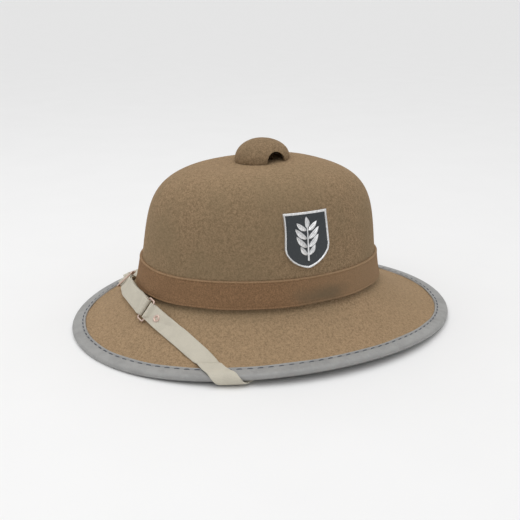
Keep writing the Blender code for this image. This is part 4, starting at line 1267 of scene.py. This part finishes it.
class StrapCourse:
    """The strap's middle line, from the left ear over the front to the right ear."""

    def __init__(self, bed):
        self.bed = bed
        half = []
        for turn_step, side, share in COURSE_ROWS:
            angle = radians(turn_step - 90)
            half.append(np.array((angle, bed.reach_of(angle, side, share))))
        mirrored = [np.array((-pi - angle, reach)) for angle, reach in half[1:]]
        line = self.smooth_through(half[::-1] + mirrored, 16)
        self.angles = line[:, 0]
        self.reaches = line[:, 1]
        points, away = bed.at(self.angles, self.reaches)
        self.marks = lengths_along(points)
        self.length = self.marks[-1]
        side = np.cross(unit(np.gradient(points, axis=0)), away)
        ways = bed.ways(self.angles, self.reaches)
        rates = np.linalg.solve(ways @ ways.transpose(0, 2, 1), ways @ side[..., None])[..., 0]
        for column in range(2):
            padded = np.pad(rates[:, column], 4, mode="edge")
            rates[:, column] = np.convolve(padded, soft_weights(9), mode="valid")
        self.rates = rates

    @staticmethod
    def smooth_through(values, count):
        """Points on a smooth curve through a list of number pairs."""
        points = [2 * values[0] - values[1]] + list(values) + [2 * values[-1] - values[-2]]
        smooth = []
        for index in range(1, len(points) - 2):
            before, start, end, after = points[index - 1:index + 3]
            for part in range(count):
                t = part / count
                smooth.append(0.5 * (2 * start + (end - before) * t
                                     + (2 * before - 5 * start + 4 * end - after) * t ** 2
                                     + (3 * start - before - 3 * end + after) * t ** 3))
        smooth.append(values[-1])
        return np.array(smooth)

    def place(self, mark, sideways, height):
        """Places over the course: along it, across it and away from the skin."""
        mark, sideways, height = np.broadcast_arrays(mark, sideways, height)
        angle = np.interp(mark, self.marks, self.angles)
        reach = np.interp(mark, self.marks, self.reaches)
        angle = angle + sideways * np.interp(mark, self.marks, self.rates[:, 0])
        reach = reach + sideways * np.interp(mark, self.marks, self.rates[:, 1])
        point, away = self.bed.at(angle, reach)
        return point + away * height[..., None]

    def mark_at(self, angle):
        """The length along the course at which its middle passes an angle."""
        front = np.nonzero(self.reaches > 0.02)[0]
        order = front[np.argsort(self.angles[front])]
        return float(np.interp(angle, self.angles[order], self.marks[order]))

    def frame_at(self, mark, height):
        """Directions at a place on the course: X along it, Z away from the skin."""
        origin = self.place(mark, 0.0, height)
        along = unit(self.place(mark + 0.004, 0.0, height) - self.place(mark - 0.004, 0.0, height))
        across = self.place(mark, 0.008, height) - self.place(mark, -0.008, height)
        away = unit(np.cross(along, across))
        if np.dot(away, self.place(mark, 0.0, height + 0.001) - origin) < 0:
            away = -away
        side = unit(np.cross(away, along))
        return origin, np.stack([along, side, away])


class StrapLayout:
    """Where the strap's layers, folds and fittings lie on its course."""

    def __init__(self, scene):
        self.form = HelmetForm(scene)
        strap = values_of(scene, "helmet_strap")
        self.strap = strap
        self.detail = values_of(scene, "helmet_detail")
        self.course = StrapCourse(StrapBed(self.form, strap))
        self.low = strap.clear + strap.thickness / 2
        self.upper = self.low + strap.thickness + self.form.trim.gap
        self.fold_radius = strap.wire / 2 + strap.fold_clear + strap.thickness / 2
        self.bar_height = self.low + self.fold_radius
        self.ring = self.course.mark_at(strap.ring_at)
        self.keeper = self.course.mark_at(strap.keeper_at)
        self.near_bar = self.ring - strap.ring_length / 2
        self.far_bar = self.ring + strap.ring_length / 2
        self.rivet = self.near_bar - strap.rivet_from_fold
        self.half_width = strap.width / 2 + strap.side_clear + strap.wire / 2

    def keeper_heights(self):
        """Heights of the keeper's three bars, from the ring slide's side to the rim's side."""
        strap = self.strap
        first = self.upper + strap.thickness / 2 + strap.fold_clear + strap.wire / 2 + strap.keeper_lift
        last = self.bar_height + strap.keeper_lift
        return first, (first + last) / 2, last

    def fold(self, mark, toward):
        """Half a turn of the strap round a bar, from above it to below it."""
        turns = np.radians(np.linspace(80, -80, 13))
        radius = self.fold_radius
        return [(mark + toward * radius * np.cos(step), self.bar_height + radius * np.sin(step))
                for step in turns]

    def left_path(self):
        """Lengths and heights of the left half: along the skin, over its own end, round the bar, back."""
        strap = self.strap
        tail_end = self.near_bar - strap.fold_tail
        path = [(0.0, self.low), (tail_end - self.form.trim.gap - strap.layer_ramp, self.low)]
        path += [(tail_end - self.form.trim.gap, self.upper), (self.near_bar - 0.003, self.upper)]
        path += [(self.near_bar, self.bar_height + self.fold_radius)]
        path += self.fold(self.near_bar, 1)
        path += [(self.near_bar, self.low), (tail_end, self.low)]
        return path

    def right_path(self):
        """Lengths and heights of the right half: its end, round the bar, over the keeper, to the ear."""
        strap = self.strap
        step = strap.keeper_bar_step
        flat = strap.wire * 3 / 4
        over_bar = self.keeper_heights()[1] + self.fold_radius
        path = [(self.keeper - flat, self.low), (self.far_bar, self.low)]
        path += self.fold(self.far_bar, -1)[::-1]
        path += [(self.far_bar, self.bar_height + self.fold_radius)]
        path += [(self.far_bar + strap.layer_ramp * 1.6, self.upper)]
        path += [(self.keeper - step - flat, self.upper)]
        path += [(self.keeper - step + flat, self.upper), (self.keeper - flat, over_bar)]
        path += [(self.keeper + flat, over_bar), (self.keeper + step - flat, self.low)]
        path += [(self.course.length, self.low)]
        return path

    def even_path(self, path):
        """The path at even steps, with its corners rounded."""
        fine_step = 0.0002
        soft = 0.0007
        fine = evenly(np.array(path), fine_step)[0]
        reach = int(3 * soft / fine_step)
        kernel = np.exp(-0.5 * (np.arange(-reach, reach + 1) * fine_step / soft) ** 2)
        kernel = kernel / kernel.sum()
        rounded = []
        for values in fine.T:
            start = 2 * values[0] - values[reach:0:-1]
            end = 2 * values[-1] - values[-2:-reach - 2:-1]
            rounded.append(np.convolve(np.concatenate([start, values, end]), kernel, mode="valid"))
        return evenly(np.stack(rounded, axis=-1), self.detail.strap_step)

    def webbing_mesh(self, path):
        """Webbing of even thickness with soft edges, which follows a path over its course."""
        points, lengths = self.even_path(path)
        ways = unit(np.gradient(points, axis=0))
        shares = np.sin(np.linspace(-pi / 2, pi / 2, self.detail.strap_columns + 1))
        half = self.strap.thickness / 2 * (0.30 + 0.70 * (1 - np.abs(shares) ** 10) ** 0.5)
        cord = 0.00005 * np.cos(shares * pi * 8)
        sideways = self.strap.width / 2 * shares
        faces = []
        for sign in (1, -1):
            offset = sign * (half + cord)
            mark = points[:, :1] - ways[:, 1:] * offset[None]
            height = points[:, 1:] + ways[:, :1] * offset[None]
            faces.append(self.course.place(mark, sideways[None], height)[:, ::sign])
        around = np.concatenate([sideways, sideways[::-1], sideways[:1]])
        grid = np.concatenate(faces, axis=1)
        return grid_mesh(self.form.placed(grid), caps=True, uv=(lengths, around))


class BuildStraps(Operator):
    """Build both halves of the chin strap and the seam at the fold"""
    bl_idname = "helmet.straps"
    bl_label = "Chin strap"

    def execute(self, context):
        layout = StrapLayout(context.scene)
        colours = values_of(context.scene, "helmet_colours")
        web = material_named("webbing", webbing_finish, colours)
        left = layout.webbing_mesh(layout.left_path())
        add_piece("webbing_left", left, [web], ["strap_left"])
        right = layout.webbing_mesh(layout.right_path())
        add_piece("webbing_right", right, [web], ["strap_right"])
        meshes = []
        strap = layout.strap
        thread_radius = 0.00022
        part = np.linspace(-1, 1, 7)
        height = layout.upper + strap.thickness / 2 + 0.00012 * (1 - part ** 2) - 0.00006
        for mark in (layout.near_bar - 0.0036, layout.near_bar - strap.fold_tail + 0.0016):
            for place in np.linspace(-0.42, 0.42, 9):
                line = layout.course.place(mark, (place + part * 0.036) * strap.width, height)
                meshes.append(stitch_mesh(layout.form.placed(line), thread_radius))
        add_piece("strap_seam", join_meshes(meshes), [web], [])
        return {"FINISHED"}


def rounded_loop(half_length, half_width, corner, rise=0.0):
    """Points of a rectangle with rounded corners, tilted by a rise from end to end."""
    points = []
    for start, way_x, way_y in ((0, 1, 1), (90, -1, 1), (180, -1, -1), (270, 1, -1)):
        for part in np.linspace(0, 90, 9):
            angle = radians(start + part)
            x = way_x * (half_length - corner) + corner * np.cos(angle)
            y = way_y * (half_width - corner) + corner * np.sin(angle)
            points.append((x, y, rise * x / half_length))
    points = np.array(points)
    dense = []
    for start, end in zip(points, np.roll(points, -1, axis=0)):
        parts = max(1, int(np.linalg.norm(end - start) / 0.0008))
        for part in range(parts):
            dense.append(start + (end - start) * part / parts)
    return np.array(dense)


class BuildFittings(Operator):
    """Build the ring slide, the keeper slide and the tubular rivet"""
    bl_idname = "helmet.fittings"
    bl_label = "Slides and rivet"

    def execute(self, context):
        scene = context.scene
        layout = StrapLayout(scene)
        strap = layout.strap
        form = layout.form
        sides = layout.detail.wire_sides
        colours = values_of(scene, "helmet_colours")
        copper = material_named("copper", metal_finish, "copper", colours.copper, 0.38)

        def wire(points, mark, height, closed):
            """A round wire through points given in the course's directions at a place."""
            origin, ways = layout.course.frame_at(mark, height)
            grid = tube_grid(origin + points @ ways, strap.wire / 2, sides, closed, ways[2])
            return grid_mesh(form.placed(grid), close_rows=closed, caps=not closed)

        ring = rounded_loop(strap.ring_length / 2, layout.half_width, strap.wire)
        mesh = wire(ring, layout.ring, layout.bar_height, True)
        add_piece("ring_wire", mesh, [copper], ["ring_slide"])

        first, middle, last = layout.keeper_heights()
        rise = (last - first) / 2
        loop = rounded_loop(strap.keeper_bar_step, layout.half_width, strap.wire, rise)
        bar = stack(0.0, np.linspace(-layout.half_width, layout.half_width, 24), 0.0)
        meshes = [wire(loop, layout.keeper, middle, True), wire(bar, layout.keeper, middle, False)]
        add_piece("keeper_wire", join_meshes(meshes), [copper], ["keeper_slide"])

        origin, ways = layout.course.frame_at(layout.rivet, 0.0)
        head = layout.upper + strap.thickness / 2
        outer = strap.rivet_radius
        hole = strap.rivet_hole
        tall = strap.rivet_head
        profile = [(hole, strap.clear + 0.0003), (hole, head + tall * 0.3)]
        profile += [(hole * 1.15, head + tall * 0.75)]
        ring_radius = (outer + hole * 1.3) / 2
        reach = (outer - hole * 1.3) / 2
        for step in np.linspace(0, pi, 12):
            profile.append((ring_radius - reach * np.cos(step), head + tall * (0.45 + 0.75 * np.sin(step))))
        profile += [(outer, head), (outer * 0.8, head - 0.0002), (outer * 0.55, head - 0.0002),
                    (outer * 0.55, strap.clear)]
        turns = np.arange(48) * FULL_TURN / 48
        rows = []
        for radius, height in profile:
            local = stack(radius * np.cos(turns), radius * np.sin(turns), height)
            rows.append(origin + local @ ways)
        mesh = grid_mesh(form.placed(np.array(rows)), close_rows=True)
        add_piece("rivet", mesh, [copper], ["strap_rivet"])
        return {"FINISHED"}


def add_area_light(name, place, target, size, power):
    """A soft square light that faces a point."""
    light = bpy.data.lights.new(name, "AREA")
    light.size = size
    light.energy = power
    lamp = add_object(name, light)
    lamp.location = place
    lamp.rotation_euler = (Vector(target) - Vector(place)).to_track_quat("-Z", "Y").to_euler()


class BuildStage(Operator):
    """Build the floor, the lights and the camera"""
    bl_idname = "helmet.stage"
    bl_label = "Stage"

    def execute(self, context):
        scene = context.scene
        stage = values_of(scene, "helmet_stage")
        colours = values_of(scene, "helmet_colours")
        floor_mesh = bpy.data.meshes.new("floor")
        reach = 60.0
        corners = [(-reach, -reach, 0), (reach, -reach, 0), (reach, reach, 0), (-reach, reach, 0)]
        floor_mesh.from_pydata(corners, [], [(0, 1, 2, 3)])
        floor = add_object("floor", floor_mesh)
        pale = Finish("floor", 0.9, specular=0.1)
        speck = pale.noise(pale.place(), scale=12.0, detail=2.0, rough=0.5)
        pale.paint(pale.blend(speck, lighter(colours.floor, 0.985), lighter(colours.floor, 1.015)))
        floor_mesh.materials.append(pale.material)

        world = bpy.data.worlds.new("soft_sky")
        world.use_nodes = True
        nodes = world.node_tree.nodes
        links = world.node_tree.links
        sky = nodes["Background"]
        sky.inputs["Strength"].default_value = stage.sky
        way = nodes.new("ShaderNodeTexCoord")
        apart = nodes.new("ShaderNodeSeparateXYZ")
        ramp = nodes.new("ShaderNodeValToRGB")
        links.new(way.outputs["Generated"], apart.inputs[0])
        links.new(apart.outputs[2], ramp.inputs[0])
        links.new(ramp.outputs["Color"], sky.inputs["Color"])
        stops = ramp.color_ramp.elements
        for position, _ in SKY_ROWS[1:-1]:
            stops.new(position)
        for stop, (position, level) in zip(stops, SKY_ROWS):
            stop.position = position
            stop.color = (level, level, level, 1.0)
        scene.world = world
        scene.view_settings.view_transform = "Standard"

        back = np.array((np.sin(stage.azimuth) * np.cos(stage.elevation),
                         -np.cos(stage.azimuth) * np.cos(stage.elevation), np.sin(stage.elevation)))
        level_right = np.array((np.cos(stage.azimuth), np.sin(stage.azimuth), 0.0))
        level_up = np.cross(back, level_right)
        right = np.cos(stage.roll) * level_right + np.sin(stage.roll) * level_up
        up = -np.sin(stage.roll) * level_right + np.cos(stage.roll) * level_up
        target = np.array((0.0, HelmetForm(scene).shift[1], stage.look_height))
        lens = bpy.data.cameras.new("camera")
        lens.sensor_width = SENSOR
        lens.lens = stage.scale * stage.distance * 1000 / PHOTO_SIDE * SENSOR
        lens.shift_x = -(stage.point_x - PHOTO_SIDE / 2) / PHOTO_SIDE
        lens.shift_y = (stage.point_y - PHOTO_SIDE / 2) / PHOTO_SIDE
        camera = add_object("camera", lens)
        matrix = np.eye(4)
        matrix[:3] = np.stack([right, up, back, target + back * stage.distance], axis=-1)
        camera.matrix_world = Matrix(matrix.tolist())
        scene.camera = camera

        upward = np.array((0.0, 0.0, 1.0))
        above = target - level_right * 0.25 + back * 0.25 + upward
        add_area_light("key_light", above, target, size=1.2, power=stage.key)
        front = target + back * 1.1 - level_right * 0.5 + upward * 0.25
        add_area_light("fill_light", front, target, size=1.0, power=stage.fill)
        return {"FINISHED"}


BUILDERS = (
    BuildStage, BuildShell, BuildBinding, BuildBand, BuildVent, BuildBadge, BuildStraps, BuildFittings,
)


class HelmetPanel(Panel):
    """The helmet's operators and sizes"""
    bl_idname = "VIEW3D_PT_helmet"
    bl_label = "Pith helmet"
    bl_space_type = "VIEW_3D"
    bl_region_type = "UI"
    bl_category = "Helmet"

    def draw(self, context):
        layout = self.layout
        for builder in BUILDERS:
            layout.operator(builder.bl_idname)
        for group_name, group in GROUPS.items():
            box = layout.box()
            box.label(text=group_name.replace("_", " ").capitalize())
            for name in group.__annotations__:
                box.prop(getattr(context.scene, group_name), name)


def register():
    """Make the sizes, the operators and the panel known to Blender."""
    for group_name, group in GROUPS.items():
        bpy.utils.register_class(group)
        setattr(bpy.types.Scene, group_name, PointerProperty(type=group))
    for builder in BUILDERS:
        bpy.utils.register_class(builder)
    bpy.utils.register_class(HelmetPanel)


def unregister():
    """Take them out again."""
    bpy.utils.unregister_class(HelmetPanel)
    for builder in reversed(BUILDERS):
        bpy.utils.unregister_class(builder)
    for group_name, group in reversed(GROUPS.items()):
        delattr(bpy.types.Scene, group_name)
        bpy.utils.unregister_class(group)


def main():
    """Build every piece."""
    register()
    for builder in BUILDERS:
        group, name = builder.bl_idname.split(".")
        getattr(getattr(bpy.ops, group), name)()


if __name__ == "__main__":
    main()
